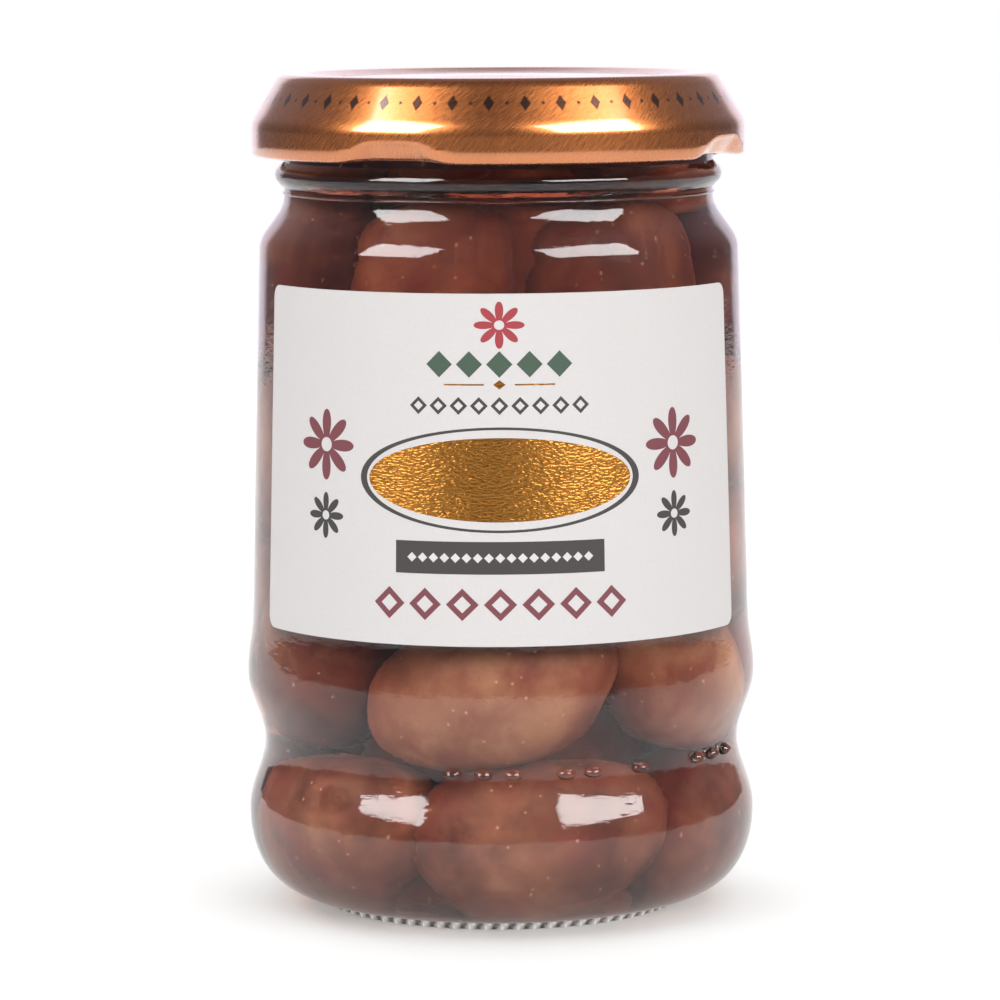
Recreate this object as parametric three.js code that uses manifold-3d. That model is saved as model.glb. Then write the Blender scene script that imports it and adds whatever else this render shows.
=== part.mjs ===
// A glass jar of large brown olives, shut with a pressed metal lug lid and dressed with a paper label.
// Millimetres, +Z up. The origin is the middle of the foot, and the label faces -Y.
// A bearing is an angle in degrees round +Z, counted from the front (-Y) towards +X.

import * as THREE from "three";
import { mergeVertices } from "three/addons/utils/BufferGeometryUtils.js";
import Module from "manifold-3d";

const wasm = await Module();
wasm.setup();

// Jar: a round food jar of about 300 ml for a 63 mm twist-off lid
const JAR_HEIGHT = 110.4;
const WALL = 2.2;
const FOOT = { inner: 22.6, outer: 24.4, pushUp: 2.4, lip: 24.9, lipHeight: 1.2 };
const LOWER_BULGE = { radius: 34.13, height: 12.6 };
const WAIST = { radius: 31.98, height: 21.9 };
const UPPER_BULGE = { radius: 34.22, height: 31.2 };
const CONE = { footRadius: 33.42, foot: 39.5, topRadius: 32.05, top: 88.0 };
const NECK = { radius: 28.7, height: 95.0 };
const BEAD = { radius: 29.87, height: 97.9, halfHeight: 1.8 };
const RIM_ROUND = 0.9;
const FLOOR = { radius: 22.8, height: 3.0, middle: 4.8 };

// Thread starts: four ramps that rise to the right, one for each lug
const THREAD = { count: 4, sweep: 82, reach: 30.6, height: 1.5, start: 99.9, rise: 3.6, taper: 12 };

// Nubs moulded on the glass round the waist, as bearings
const NUBS = { bearings: [-11.4, -4.2, 2.7, 15.1, 21.8, 34.3, 53.2, 59.8, 66.8], radius: 1.05, sunk: 0.35 };

// Lid: a shallow pressed cap whose curled rim is pinched in to four lugs
const LID = {
  top: 111.3,
  panel: 110.6,
  button: 110.3,
  buttonRadius: 9,
  buttonEdge: 10.5,
  panelRadius: 24.6,
  ringInner: 25.8,
  ringOuter: 28.7,
  radius: 33.0,
  skirtTop: 105.0,
  curlTop: 102.1,
  rim: 100.4,
  curlWidth: 1.8,
  sheet: 0.5,
};
const LUG = { count: 4, first: -24.6, halfWidth: 13, arch: 2.8, slope: 0.57, lift: 0.4 };

// Label: one paper sheet wrapped round the front of the cone
const LABEL = { bottom: 38.9, top: 84.1, halfSweep: 65.6, corner: 1.6, gap: 0.2, sheet: 0.3 };

// Olives: long, large fruit, packed by hand in the real jar and by relaxation here
const OLIVE = { halfLength: 15.0, halfWidth: 9.3, spread: 0.06 };
const HEAP = { clearance: 0.9, top: 107, coreRadius: 15, coreFoot: 8, coreTop: 96, sides: 8, rings: 6 };
const PACKING = { sweeps: 300, sag: 0.04, hold: 0.6 };

// The olives that show past the label: bearing, height and distance of the middle from the axis, then the
// bearing and rise of the long axis
const SHOWN_OLIVES = [
  { bearing: 12, height: 12.8, reach: 20.8, along: 101, rise: 2 },
  { bearing: -54, height: 12.6, reach: 20.8, along: 30, rise: 8 },
  { bearing: 77, height: 14.6, reach: 20.8, along: 160, rise: 28 },
  { bearing: -1, height: 32.6, reach: 21.0, along: 88, rise: 20 },
  { bearing: -66, height: 38.0, reach: 21.2, along: 24, rise: 62 },
  { bearing: 58, height: 34.4, reach: 21.2, along: 130, rise: -40 },
  { bearing: -33, height: 80.2, reach: 13.4, along: 65, rise: 84 },
  { bearing: -92, height: 84.0, reach: 20.0, along: 14, rise: 70 },
  { bearing: 48, height: 79.6, reach: 15.6, along: 120, rise: 76 },
];

// The rest fill the heap in rings: height, how many stand round the wall, first bearing and step
const HIDDEN_RINGS = [
  { height: 13.5, count: 2, first: 148, step: 66 },
  { height: 32.0, count: 2, first: 130, step: 70 },
  { height: 50.0, count: 5, first: 20, step: 72 },
  { height: 65.0, count: 5, first: -14, step: 72 },
  { height: 81.0, count: 2, first: 116, step: 72 },
  { height: 99.0, count: 2, first: -40, step: 165 },
];
const HIDDEN_REACH = { wall: 21.2, neck: 14.5, neckFrom: 95 };
const MIDDLE_OLIVES = [13, 34, 50, 66];

// Facets
const JAR_SIDES = 48;
const LID_SIDES = 60;
const WELD = 1e-4;

/** The point at a bearing, a distance from the axis and a height. */
function placeAt(bearing, radius, height) {
  const angle = THREE.MathUtils.degToRad(bearing);
  return new THREE.Vector3(radius * Math.sin(angle), -radius * Math.cos(angle), height);
}

/** The closed surface of a geometry, with shared corners merged and no needle faces. */
function weld(geometry) {
  const bare = geometry.clone();
  bare.deleteAttribute("normal");
  bare.deleteAttribute("uv");
  const merged = mergeVertices(bare, WELD);
  const corners = merged.index.array;
  const kept = [];
  for (let i = 0; i < corners.length; i += 3) {
    const [a, b, c] = [corners[i], corners[i + 1], corners[i + 2]];
    if (a !== b && b !== c && c !== a) kept.push(a, b, c);
  }
  merged.setIndex(kept);
  return merged;
}

function toSolid(geometry) {
  const welded = weld(geometry);
  const mesh = new wasm.Mesh({
    numProp: 3,
    vertProperties: new Float32Array(welded.attributes.position.array),
    triVerts: new Uint32Array(welded.index.array),
  });
  return new wasm.Manifold(mesh);
}

function toGeometry(solid) {
  const mesh = solid.getMesh();
  const geometry = new THREE.BufferGeometry();
  geometry.setAttribute("position", new THREE.BufferAttribute(mesh.vertProperties, 3));
  geometry.setIndex(new THREE.BufferAttribute(mesh.triVerts, 1));
  geometry.computeVertexNormals();
  return geometry;
}

/** A profile of radius and height turned once round +Z. */
function revolve(profile, sides) {
  return weld(new THREE.LatheGeometry(profile, sides).rotateX(Math.PI / 2));
}

/** Moves each corner of a geometry by a rule. */
function reshape(geometry, rule) {
  const places = geometry.attributes.position;
  const corner = new THREE.Vector3();
  for (let i = 0; i < places.count; i += 1) {
    corner.fromBufferAttribute(places, i);
    const moved = rule(corner.clone());
    places.setXYZ(i, moved.x, moved.y, moved.z);
  }
  return geometry;
}

/** A sheet or bar wrapped round the axis: each column has a bearing, two radii and two heights. */
function wrap(columns) {
  const box = new THREE.BoxGeometry(1, 1, 1, columns.length - 1, 1, 1);
  return reshape(box, (corner) => {
    const column = columns[Math.round((corner.x + 0.5) * (columns.length - 1))];
    const upper = corner.z > 0;
    const radius = corner.y > 0 ? column.inner : column.outer;
    const height = upper ? column.top : column.bottom;
    return placeAt(column.bearing, upper ? radius + (column.lean ?? 0) : radius, height);
  });
}

/** Points after the first of a half wave, the soft step that blown glass has between two radii. */
function halfWave(from, to, steps) {
  return Array.from({ length: steps }, (_, i) => {
    const share = (i + 1) / steps;
    const ease = (1 - Math.cos(Math.PI * share)) / 2;
    return new THREE.Vector2(
      THREE.MathUtils.lerp(from.radius, to.radius, ease),
      THREE.MathUtils.lerp(from.height, to.height, share),
    );
  });
}

/** The heel, from the lip of the foot out and up to the lower bulge. */
function heel(footRadius, footHeight, bulge, steps) {
  const reach = bulge.radius - footRadius;
  const climb = bulge.height - footHeight;
  const curve = new THREE.CubicBezierCurve(
    new THREE.Vector2(footRadius, footHeight),
    new THREE.Vector2(footRadius + 0.68 * reach, footHeight),
    new THREE.Vector2(bulge.radius + 0.1, footHeight + 0.45 * climb),
    new THREE.Vector2(bulge.radius, bulge.height),
  );
  return curve.getPoints(steps).slice(1);
}

/** The bead under the lid, a round band that stands out of the neck. */
function beadOutline(steps) {
  return Array.from({ length: steps + 1 }, (_, i) => {
    const share = (2 * i) / steps - 1;
    const stand = (BEAD.radius - NECK.radius) * Math.cos((Math.PI / 2) * share);
    return new THREE.Vector2(NECK.radius + stand, BEAD.height + share * BEAD.halfHeight);
  });
}

/** The sealing rim, rounded over from one wall of the neck to the other. */
function rimOutline(steps) {
  const innerEdge = NECK.radius - WALL;
  const middle = (NECK.radius + innerEdge) / 2;
  return Array.from({ length: steps + 1 }, (_, i) => {
    const angle = (Math.PI * i) / steps;
    const height = JAR_HEIGHT - RIM_ROUND + RIM_ROUND * Math.sin(angle);
    return new THREE.Vector2(middle + (NECK.radius - middle) * Math.cos(angle), height);
  });
}

const inset = (level, by = WALL) => ({ radius: level.radius - by, height: level.height });
const CONE_FOOT = { radius: CONE.footRadius, height: CONE.foot };
const CONE_TOP = { radius: CONE.topRadius, height: CONE.top };

/** The cavity from the middle of its floor up to the neck. */
function cavityOutline() {
  const lower = inset(LOWER_BULGE);
  return [
    new THREE.Vector2(0, FLOOR.middle),
    new THREE.Vector2(FLOOR.radius * 0.6, (FLOOR.height + FLOOR.middle) / 2),
    new THREE.Vector2(FLOOR.radius, FLOOR.height),
    ...heel(FLOOR.radius, FLOOR.height, lower, 2),
    ...halfWave(lower, inset(WAIST), 2),
    ...halfWave(inset(WAIST), inset(UPPER_BULGE), 2),
    ...halfWave(inset(UPPER_BULGE), inset(CONE_FOOT), 2),
    new THREE.Vector2(CONE.topRadius - WALL, CONE.top - 1),
    ...halfWave({ radius: CONE.topRadius - WALL, height: CONE.top - 1 }, inset(NECK), 2),
  ];
}

function jarOutline() {
  return [
    new THREE.Vector2(0, FOOT.pushUp),
    new THREE.Vector2(FOOT.inner * 0.8, FOOT.pushUp * 0.7),
    new THREE.Vector2(FOOT.inner, 0),
    new THREE.Vector2(FOOT.outer, 0),
    new THREE.Vector2(FOOT.lip, FOOT.lipHeight),
    ...heel(FOOT.lip, FOOT.lipHeight, LOWER_BULGE, 5),
    ...halfWave(LOWER_BULGE, WAIST, 4),
    ...halfWave(WAIST, UPPER_BULGE, 4),
    ...halfWave(UPPER_BULGE, CONE_FOOT, 2),
    new THREE.Vector2(CONE.topRadius, CONE.top),
    ...halfWave(CONE_TOP, NECK, 4),
    ...beadOutline(4),
    ...rimOutline(3),
    ...cavityOutline().reverse(),
  ];
}

/** One thread start: a low bar that climbs round the neck and fades out at both ends. */
function threadStart(firstBearing) {
  const steps = 6;
  const root = NECK.radius - WALL / 2;
  const columns = Array.from({ length: steps + 1 }, (_, i) => {
    const turned = (THREAD.sweep * i) / steps;
    const fromEnd = Math.min(turned, THREAD.sweep - turned);
    const stand = (THREAD.reach - root) * Math.min(1, 0.45 + fromEnd / THREAD.taper);
    const bottom = THREAD.start + (THREAD.rise * turned) / THREAD.sweep;
    const outer = root + stand;
    return { bearing: firstBearing + turned, inner: root, outer, bottom, top: bottom + THREAD.height };
  });
  return wrap(columns);
}

/** One small round nub on the waist. */
function nub(bearing) {
  const middle = placeAt(bearing, WAIST.radius - NUBS.sunk, WAIST.height);
  return new THREE.SphereGeometry(NUBS.radius, 6, 4).translate(middle.x, middle.y, middle.z);
}

function makeJar() {
  let solid = toSolid(revolve(jarOutline(), JAR_SIDES));
  for (let i = 0; i < THREAD.count; i += 1) {
    solid = solid.add(toSolid(threadStart((360 / THREAD.count) * i)));
  }
  for (const bearing of NUBS.bearings) {
    solid = solid.add(toSolid(nub(bearing)));
  }
  const glass = new THREE.MeshStandardMaterial({ color: 0xd8dad8, roughness: 0.06, transparent: true, opacity: 0.3 });
  return namedMesh("jar", toGeometry(solid), glass);
}

/** The lid's sheet: over the top from the middle out, down to the curl, and back up inside. */
function lidOutline() {
  const curlMiddle = LID.radius - LID.curlWidth / 2;
  const inner = LID.radius - LID.sheet;
  const under = LID.top - LID.sheet;
  const curlRadius = LID.curlWidth / 2;
  const curl = [0, 30, 60, 90, 135, 180].map((degrees) => {
    const angle = THREE.MathUtils.degToRad(degrees);
    const drop = LID.rim + curlRadius - curlRadius * Math.sin(angle);
    return new THREE.Vector2(curlMiddle + curlRadius * Math.cos(angle), drop);
  });
  return [
    new THREE.Vector2(0, LID.button),
    new THREE.Vector2(LID.buttonRadius, LID.button),
    new THREE.Vector2(LID.buttonEdge, LID.panel),
    new THREE.Vector2(LID.panelRadius, LID.panel),
    new THREE.Vector2(LID.ringInner, LID.top),
    new THREE.Vector2(LID.ringOuter, LID.top),
    new THREE.Vector2(LID.ringOuter + 0.9, LID.top - 0.6),
    new THREE.Vector2(LID.radius - 0.6, LID.skirtTop + 0.9),
    new THREE.Vector2(LID.radius, LID.skirtTop - 0.6),
    new THREE.Vector2(LID.radius, LID.rim + LUG.arch),
    new THREE.Vector2(LID.radius, LID.curlTop),
    ...curl,
    new THREE.Vector2(LID.radius - LID.curlWidth, LID.curlTop),
    new THREE.Vector2(inner, LID.curlTop + 0.6),
    new THREE.Vector2(inner, LID.skirtTop - 0.8),
    new THREE.Vector2(LID.ringOuter + 0.5, under - 0.4),
    new THREE.Vector2(LID.ringOuter, under),
    new THREE.Vector2(LID.ringInner, under),
    new THREE.Vector2(LID.panelRadius, LID.panel - LID.sheet),
    new THREE.Vector2(LID.buttonEdge, LID.panel - LID.sheet),
    new THREE.Vector2(LID.buttonRadius, LID.button - LID.sheet),
    new THREE.Vector2(0, LID.button - LID.sheet),
  ];
}

/** Pinches the skirt in and lifts its rim at each lug. The lid is turned so that one lug is at the front. */
function pinchLugs(corner) {
  if (corner.z > LID.skirtTop - 0.7) return corner;
  const spacing = 360 / LUG.count;
  const bearing = THREE.MathUtils.radToDeg(Math.atan2(corner.x, -corner.y));
  const offLug = Math.abs(bearing - spacing * Math.round(bearing / spacing));
  if (offLug >= LUG.halfWidth) return corner;
  const share = Math.cos(((Math.PI / 2) * offLug) / LUG.halfWidth) ** 2;
  const below = Math.max(0, LID.rim + LUG.arch * share - corner.z);
  const radius = Math.hypot(corner.x, corner.y) - below * LUG.slope;
  return placeAt(bearing, radius, corner.z + LUG.lift * share * Math.min(1, below));
}

function makeLid() {
  const sheet = reshape(revolve(lidOutline().reverse(), LID_SIDES), pinchLugs);
  sheet.rotateZ(THREE.MathUtils.degToRad(LUG.first));
  sheet.computeVertexNormals();
  return namedMesh("lid", sheet, new THREE.MeshStandardMaterial({ color: 0x9a6236, metalness: 1, roughness: 0.35 }));
}

/** Radius of the cone's outside at a height. */
function coneRadius(height) {
  const share = (height - CONE.foot) / (CONE.top - CONE.foot);
  return THREE.MathUtils.lerp(CONE.footRadius, CONE.topRadius, share);
}

function makeLabel() {
  const middleRadius = coneRadius((LABEL.bottom + LABEL.top) / 2);
  const facet = 360 / JAR_SIDES;
  const cornerBearings = [0, 30, 60, 90].map((degrees) => {
    const inFromEdge = LABEL.corner * (1 - Math.cos(THREE.MathUtils.degToRad(degrees)));
    return LABEL.halfSweep - THREE.MathUtils.radToDeg(inFromEdge / middleRadius);
  });
  const innerFacets = Math.floor(Math.min(...cornerBearings) / facet);
  const positive = Array.from({ length: innerFacets }, (_, i) => (i + 1) * facet);
  const half = [...positive, ...cornerBearings.reverse()];
  const bearings = [...half.map((bearing) => -bearing).reverse(), 0, ...half];
  const columns = bearings.map((bearing) => {
    const inFromEdge = THREE.MathUtils.degToRad(LABEL.halfSweep - Math.abs(bearing)) * middleRadius;
    const short = Math.max(0, LABEL.corner - inFromEdge);
    const cut = LABEL.corner - Math.sqrt(LABEL.corner ** 2 - Math.min(short, LABEL.corner) ** 2);
    const bottom = LABEL.bottom + cut;
    const top = LABEL.top - cut;
    const inner = coneRadius(bottom) + LABEL.gap;
    return { bearing, inner, outer: inner + LABEL.sheet, bottom, top, lean: coneRadius(top) - coneRadius(bottom) };
  });
  const paper = new THREE.MeshStandardMaterial({ color: 0xe5e1e0, roughness: 0.75 });
  return namedMesh("label", weld(wrap(columns)), paper);
}

/** Even spread of numbers from -1 to 1, one for each olive and purpose. */
function spread(index, purpose) {
  const share = (index * 0.6180339887 + purpose * 0.3819660113) % 1;
  return 2 * share - 1;
}

/** Unit vector at a bearing and a rise above level. */
function direction(bearing, rise) {
  const lift = THREE.MathUtils.degToRad(rise);
  const level = placeAt(bearing, Math.cos(lift), 0);
  return level.setZ(Math.sin(lift));
}

/** The olives before packing: those that show, then the rings, then the ones in the middle. */
function looseOlives() {
  const olives = SHOWN_OLIVES.map((shown) => {
    const middle = placeAt(shown.bearing, shown.reach, shown.height);
    const axis = direction(shown.along, shown.rise);
    return { middle, axis, home: { middle: middle.clone(), axis: axis.clone() } };
  });
  for (const ring of HIDDEN_RINGS) {
    const reach = ring.height > HIDDEN_REACH.neckFrom ? HIDDEN_REACH.neck : HIDDEN_REACH.wall;
    for (let i = 0; i < ring.count; i += 1) {
      const bearing = ring.first + ring.step * i + 6 * spread(olives.length, 1);
      const along = bearing + 90 + 35 * spread(olives.length, 2);
      olives.push({
        middle: placeAt(bearing, reach, ring.height + 2 * spread(olives.length, 3)),
        axis: direction(along, 45 * spread(olives.length, 4)),
      });
    }
  }
  for (const height of MIDDLE_OLIVES) {
    olives.push({
      middle: placeAt(180 * spread(olives.length, 1), 2, height),
      axis: direction(180 * spread(olives.length, 2), 60),
    });
  }
  olives.forEach((olive, i) => {
    olive.scale = 1 + OLIVE.spread * spread(i, 5);
  });
  return olives;
}

// An olive is packed as five balls on its long axis: place along it and radius, as shares of its half sizes
const BALLS = [
  { along: -0.6, size: 0.64 },
  { along: -0.33, size: 0.91 },
  { along: 0, size: 1 },
  { along: 0.33, size: 0.91 },
  { along: 0.6, size: 0.64 },
];

/** The balls of each olive at its present place. */
function ballsOf(olives) {
  return olives.flatMap((olive, owner) =>
    BALLS.map((ball) => ({
      owner,
      radius: ball.size * OLIVE.halfWidth * olive.scale,
      place: olive.middle.clone().addScaledVector(olive.axis, ball.along * OLIVE.halfLength * olive.scale),
    })),
  );
}

/** How far two balls reach into each other. */
function overlapOf(first, second) {
  return first.radius + second.radius - first.place.distanceTo(second.place);
}

/** The pairs of balls of different olives that reach into each other. */
function closePairs(balls) {
  return balls.flatMap((first, i) =>
    balls
      .slice(i + 1)
      .filter((second) => second.owner !== first.owner && overlapOf(first, second) > 0)
      .map((second) => [first, second]),
  );
}

/** Pushes two balls apart until they touch. */
function part(first, second) {
  const overlap = overlapOf(first, second);
  if (overlap <= 0) return;
  const gap = second.place.clone().sub(first.place).normalize();
  first.place.addScaledVector(gap, -overlap / 2);
  second.place.addScaledVector(gap, overlap / 2);
}

/** The point of a stretch of outline that lies nearest to a place, both as radius and height. */
function nearestOn(start, end, place) {
  const stretch = end.clone().sub(start);
  const share = place.clone().sub(start).dot(stretch) / stretch.lengthSq();
  return start.clone().addScaledVector(stretch, THREE.MathUtils.clamp(share, 0, 1));
}

/** Pushes a ball in from every stretch of the cavity's outline that it comes too close to. */
function contain(ball, outline) {
  const reach = Math.hypot(ball.place.x, ball.place.y);
  const place = new THREE.Vector2(reach, ball.place.z);
  for (let i = 1; i < outline.length; i += 1) {
    const away = place.clone().sub(nearestOn(outline[i - 1], outline[i], place));
    const short = ball.radius + HEAP.clearance - away.length();
    if (short > 0) place.addScaledVector(away.normalize(), short);
  }
  ball.place.set((ball.place.x * place.x) / reach, (ball.place.y * place.x) / reach, place.y);
}

/** Settles the olives against each other and the glass. */
function packOlives(outline) {
  const olives = looseOlives();
  for (let sweep = 0; sweep < PACKING.sweeps; sweep += 1) {
    for (const olive of olives.filter((each) => each.home)) {
      olive.middle.lerp(olive.home.middle, PACKING.hold);
      olive.axis.lerp(olive.home.axis, PACKING.hold).normalize();
    }
    const balls = ballsOf(olives);
    for (const ball of balls) ball.place.z -= PACKING.sag;
    for (const [first, second] of closePairs(balls)) part(first, second);
    for (const ball of balls) contain(ball, outline);
    olives.forEach((olive, i) => {
      const places = balls.slice(BALLS.length * i, BALLS.length * (i + 1)).map((ball) => ball.place);
      olive.middle.set(0, 0, 0);
      for (const place of places) olive.middle.addScaledVector(place, 1 / BALLS.length);
      olive.axis.set(0, 0, 0);
      places.forEach((place, k) => olive.axis.addScaledVector(place, BALLS[k].along));
      olive.axis.normalize();
    });
  }
  return olives;
}

/** One olive as a plain egg-shaped solid of few sides. */
function oliveSolid(olive) {
  const shape = new THREE.SphereGeometry(1, HEAP.sides, HEAP.rings);
  shape.scale(OLIVE.halfWidth * olive.scale, OLIVE.halfLength * olive.scale, OLIVE.halfWidth * olive.scale);
  shape.applyQuaternion(new THREE.Quaternion().setFromUnitVectors(new THREE.Vector3(0, 1, 0), olive.axis));
  shape.translate(olive.middle.x, olive.middle.y, olive.middle.z);
  return toSolid(shape);
}

function makeOlives() {
  const cavity = [
    ...cavityOutline(),
    new THREE.Vector2(NECK.radius - WALL, HEAP.top),
    new THREE.Vector2(0, HEAP.top),
  ];
  const core = toSolid(
    revolve(
      [
        new THREE.Vector2(0, HEAP.coreFoot),
        new THREE.Vector2(HEAP.coreRadius, HEAP.coreFoot),
        new THREE.Vector2(HEAP.coreRadius, HEAP.coreTop),
        new THREE.Vector2(0, HEAP.coreTop),
      ],
      12,
    ),
  );
  const olives = packOlives(cavity);
  const wallOlives = olives.filter((olive) => Math.hypot(olive.middle.x, olive.middle.y) > HEAP.coreRadius / 2);
  const heap = wallOlives.reduce((solid, olive) => solid.add(oliveSolid(olive)), core);
  const bodies = heap.decompose().sort((a, b) => b.volume() - a.volume());
  const skin = new THREE.MeshStandardMaterial({ color: 0x7d4a39, roughness: 0.4 });
  return namedMesh("olives", toGeometry(bodies[0].simplify(0.02)), skin);
}

function namedMesh(name, geometry, material) {
  const mesh = new THREE.Mesh(geometry, material);
  mesh.name = name;
  return mesh;
}

const oliveJar = new THREE.Group();
oliveJar.add(makeJar(), makeLid(), makeLabel(), makeOlives());

export default oliveJar;
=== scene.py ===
"""A shut glass jar of large brown olives in brine, with a gold lacquered lug lid and a printed paper label.

Sizes are in millimetres in the classes and become metres where a mesh is made. The label faces -Y. A
bearing is an angle in degrees round +Z, counted from the front (-Y) towards +X.
"""

from __future__ import annotations

import logging
import math
from collections.abc import Callable, Iterable, Sequence
from dataclasses import dataclass, field
from enum import Enum

import bmesh
import bpy
import numpy as np
from bpy.types import Material, Node, NodeSocket, NodeTree, Object
from mathutils import Matrix, Vector

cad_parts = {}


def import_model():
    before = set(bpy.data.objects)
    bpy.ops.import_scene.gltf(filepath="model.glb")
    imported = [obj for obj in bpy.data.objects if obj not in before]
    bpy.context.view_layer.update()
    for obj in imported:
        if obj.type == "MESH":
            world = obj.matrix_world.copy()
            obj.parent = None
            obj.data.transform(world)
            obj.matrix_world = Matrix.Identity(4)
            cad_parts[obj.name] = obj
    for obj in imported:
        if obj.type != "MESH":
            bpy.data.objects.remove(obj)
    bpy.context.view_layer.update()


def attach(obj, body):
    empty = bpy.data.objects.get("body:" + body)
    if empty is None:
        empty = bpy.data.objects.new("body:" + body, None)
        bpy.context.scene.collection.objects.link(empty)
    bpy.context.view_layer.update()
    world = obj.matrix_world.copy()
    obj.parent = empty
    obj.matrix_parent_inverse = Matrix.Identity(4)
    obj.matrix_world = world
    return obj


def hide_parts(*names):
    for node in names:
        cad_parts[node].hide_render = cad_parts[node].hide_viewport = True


LOG = logging.getLogger("olive_jar")
MM = 0.001
BODY = "root"
Level = tuple[float, float]
Outline = list[Level]
Colour = tuple[float, float, float, float]
WHITE: Colour = (1.0, 1.0, 1.0, 1.0)


class Ink(Enum):
    """Colours printed on the label and the lid, as sRGB hex."""

    PAPER = "#D7D3D2"
    CHARCOAL = "#383432"
    BURGUNDY = "#75363F"
    RED = "#A2303A"
    GREEN = "#3A5241"
    FOIL = "#9A682F"
    LID_PRINT = "#4A2B1C"


def linear(colour: str | Ink) -> Colour:
    """Turns an sRGB hex colour into the linear colour that shaders use.

    Args:
        colour: "#RRGGBB", or an ink.

    Returns:
        Linear red, green and blue, with alpha 1.
    """
    code = colour.value if isinstance(colour, Ink) else colour
    channels = [int(code[i : i + 2], 16) / 255 for i in (1, 3, 5)]
    bent = [c / 12.92 if c <= 0.04045 else ((c + 0.055) / 1.055) ** 2.4 for c in channels]
    return (bent[0], bent[1], bent[2], 1.0)


def place_at(bearing: float, radius: float, height: float) -> Vector:
    """Gives the point at a bearing, a distance from the axis and a height, all in one unit."""
    angle = math.radians(bearing)
    return Vector((radius * math.sin(angle), -radius * math.cos(angle), height))


def direction(bearing: float, rise: float) -> Vector:
    """Gives the unit vector at a bearing and a rise above level."""
    lift = math.radians(rise)
    return place_at(bearing, math.cos(lift), math.sin(lift))


def mix(start: float, end: float, share: float) -> float:
    """Gives the value a share of the way from start to end."""
    return start + (end - start) * share


# Mesh making


def deselect_all() -> None:
    """Leaves nothing selected, so that the next operator acts on its own object alone."""
    if bpy.context.object and bpy.context.object.mode != "OBJECT":
        bpy.ops.object.mode_set(mode="OBJECT")
    bpy.ops.object.select_all(action="DESELECT")


def take(piece: Object) -> None:
    """Makes a piece the only selected one, and the active one."""
    deselect_all()
    piece.select_set(True)
    bpy.context.view_layer.objects.active = piece


def started(name: str) -> Object:
    """Names the primitive that was just added, and its mesh.

    Args:
        name: the piece's name.

    Returns:
        The piece.
    """
    piece = bpy.context.active_object
    piece.name = name
    piece.data.name = name
    return piece


def apply_place(piece: Object) -> None:
    """Moves an object's place, turn and scale into its mesh."""
    take(piece)
    bpy.ops.object.transform_apply(location=True, rotation=True, scale=True)


def apply_modifier(piece: Object, kind: str, **settings: object) -> None:
    """Adds a modifier, sets it and applies it.

    Args:
        piece: the mesh to finish.
        kind: the modifier's type, such as "BEVEL".
        settings: its settings by name.
    """
    take(piece)
    modifier = piece.modifiers.new(kind.title(), kind)
    for key, value in settings.items():
        setattr(modifier, key, value)
    bpy.ops.object.modifier_apply(modifier=modifier.name)


def smooth(piece: Object, degrees: float = 40) -> None:
    """Shades a piece smooth, with edges sharper than an angle left sharp."""
    take(piece)
    bpy.ops.object.shade_smooth_by_angle(angle=math.radians(degrees))


def displace(piece: Object, kind: str, size: float, look: dict[str, object], **settings: object) -> None:
    """Raises and sinks a mesh by a texture, and applies it.

    Args:
        piece: the mesh to change.
        kind: the texture's type.
        size: size of its pattern in millimetres.
        look: other settings of the texture by name.
        settings: settings of the Displace modifier by name.
    """
    texture = bpy.data.textures.new("relief", kind)
    texture.noise_scale = size * MM
    for key, value in look.items():
        setattr(texture, key, value)
    apply_modifier(piece, "DISPLACE", texture=texture, texture_coords="LOCAL", **settings)
    bpy.data.textures.remove(texture)


def mark_corners(piece: Object, name: str, values: Sequence[float]) -> None:
    """Writes a number on each corner of a mesh, for its finish to read."""
    piece.data.attributes.new(name, "FLOAT", "POINT").data.foreach_set("value", values)


def join(pieces: Sequence[Object], name: str) -> Object:
    """Joins meshes into the first of them.

    Args:
        pieces: meshes to join.
        name: name of the joined piece.

    Returns:
        The joined piece.
    """
    deselect_all()
    for piece in pieces:
        piece.select_set(True)
    bpy.context.view_layer.objects.active = pieces[0]
    bpy.ops.object.join()
    return started(name)


def turn_on_axis(name: str, outline: Outline, steps: int) -> Object:
    """Draws a profile as a chain of extruded points and spins it once round +Z.

    Args:
        name: name of the piece.
        outline: radius and height of each point in millimetres, from one end on the axis to the other.
        steps: how many facets go round.

    Returns:
        A closed mesh whose faces point outwards.
    """
    deselect_all()
    bpy.ops.mesh.primitive_plane_add(size=MM)
    piece = started(name)
    bpy.ops.object.mode_set(mode="EDIT")
    bpy.ops.mesh.select_all(action="SELECT")
    bpy.ops.mesh.merge(type="CENTER")
    spot = Vector((outline[0][0], 0, outline[0][1])) * MM
    bpy.ops.transform.translate(value=spot)
    for radius, height in outline[1:]:
        following = Vector((radius, 0, height)) * MM
        bpy.ops.mesh.extrude_region_move(TRANSFORM_OT_translate={"value": following - spot})
        spot = following
    bpy.ops.mesh.select_all(action="SELECT")
    bpy.ops.mesh.spin(steps=steps, angle=2 * math.pi, center=(0, 0, 0), axis=(0, 0, 1))
    bpy.ops.mesh.select_all(action="SELECT")
    bpy.ops.mesh.remove_doubles(threshold=0.002 * MM)
    bpy.ops.mesh.normals_make_consistent(inside=False)
    bpy.ops.object.mode_set(mode="OBJECT")
    return piece


def move_corners(piece: Object, rule: Callable[[Vector], Vector]) -> None:
    """Moves each corner of a mesh by a rule in millimetres.

    Args:
        piece: the mesh to change.
        rule: takes a corner's place and gives its new one.
    """
    for corner in piece.data.vertices:
        corner.co = rule(corner.co / MM) * MM
    piece.data.update()


def dress(piece: Object, material: Material) -> None:
    """Gives a piece its material and its slot, lets it ride on the body and reports it.

    Args:
        piece: the finished mesh.
        material: its only material.
    """
    piece.data.materials.clear()
    piece.data.materials.append(material)
    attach(piece, BODY)
    LOG.info("%s: %d faces", piece.name, len(piece.data.polygons))


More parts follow.
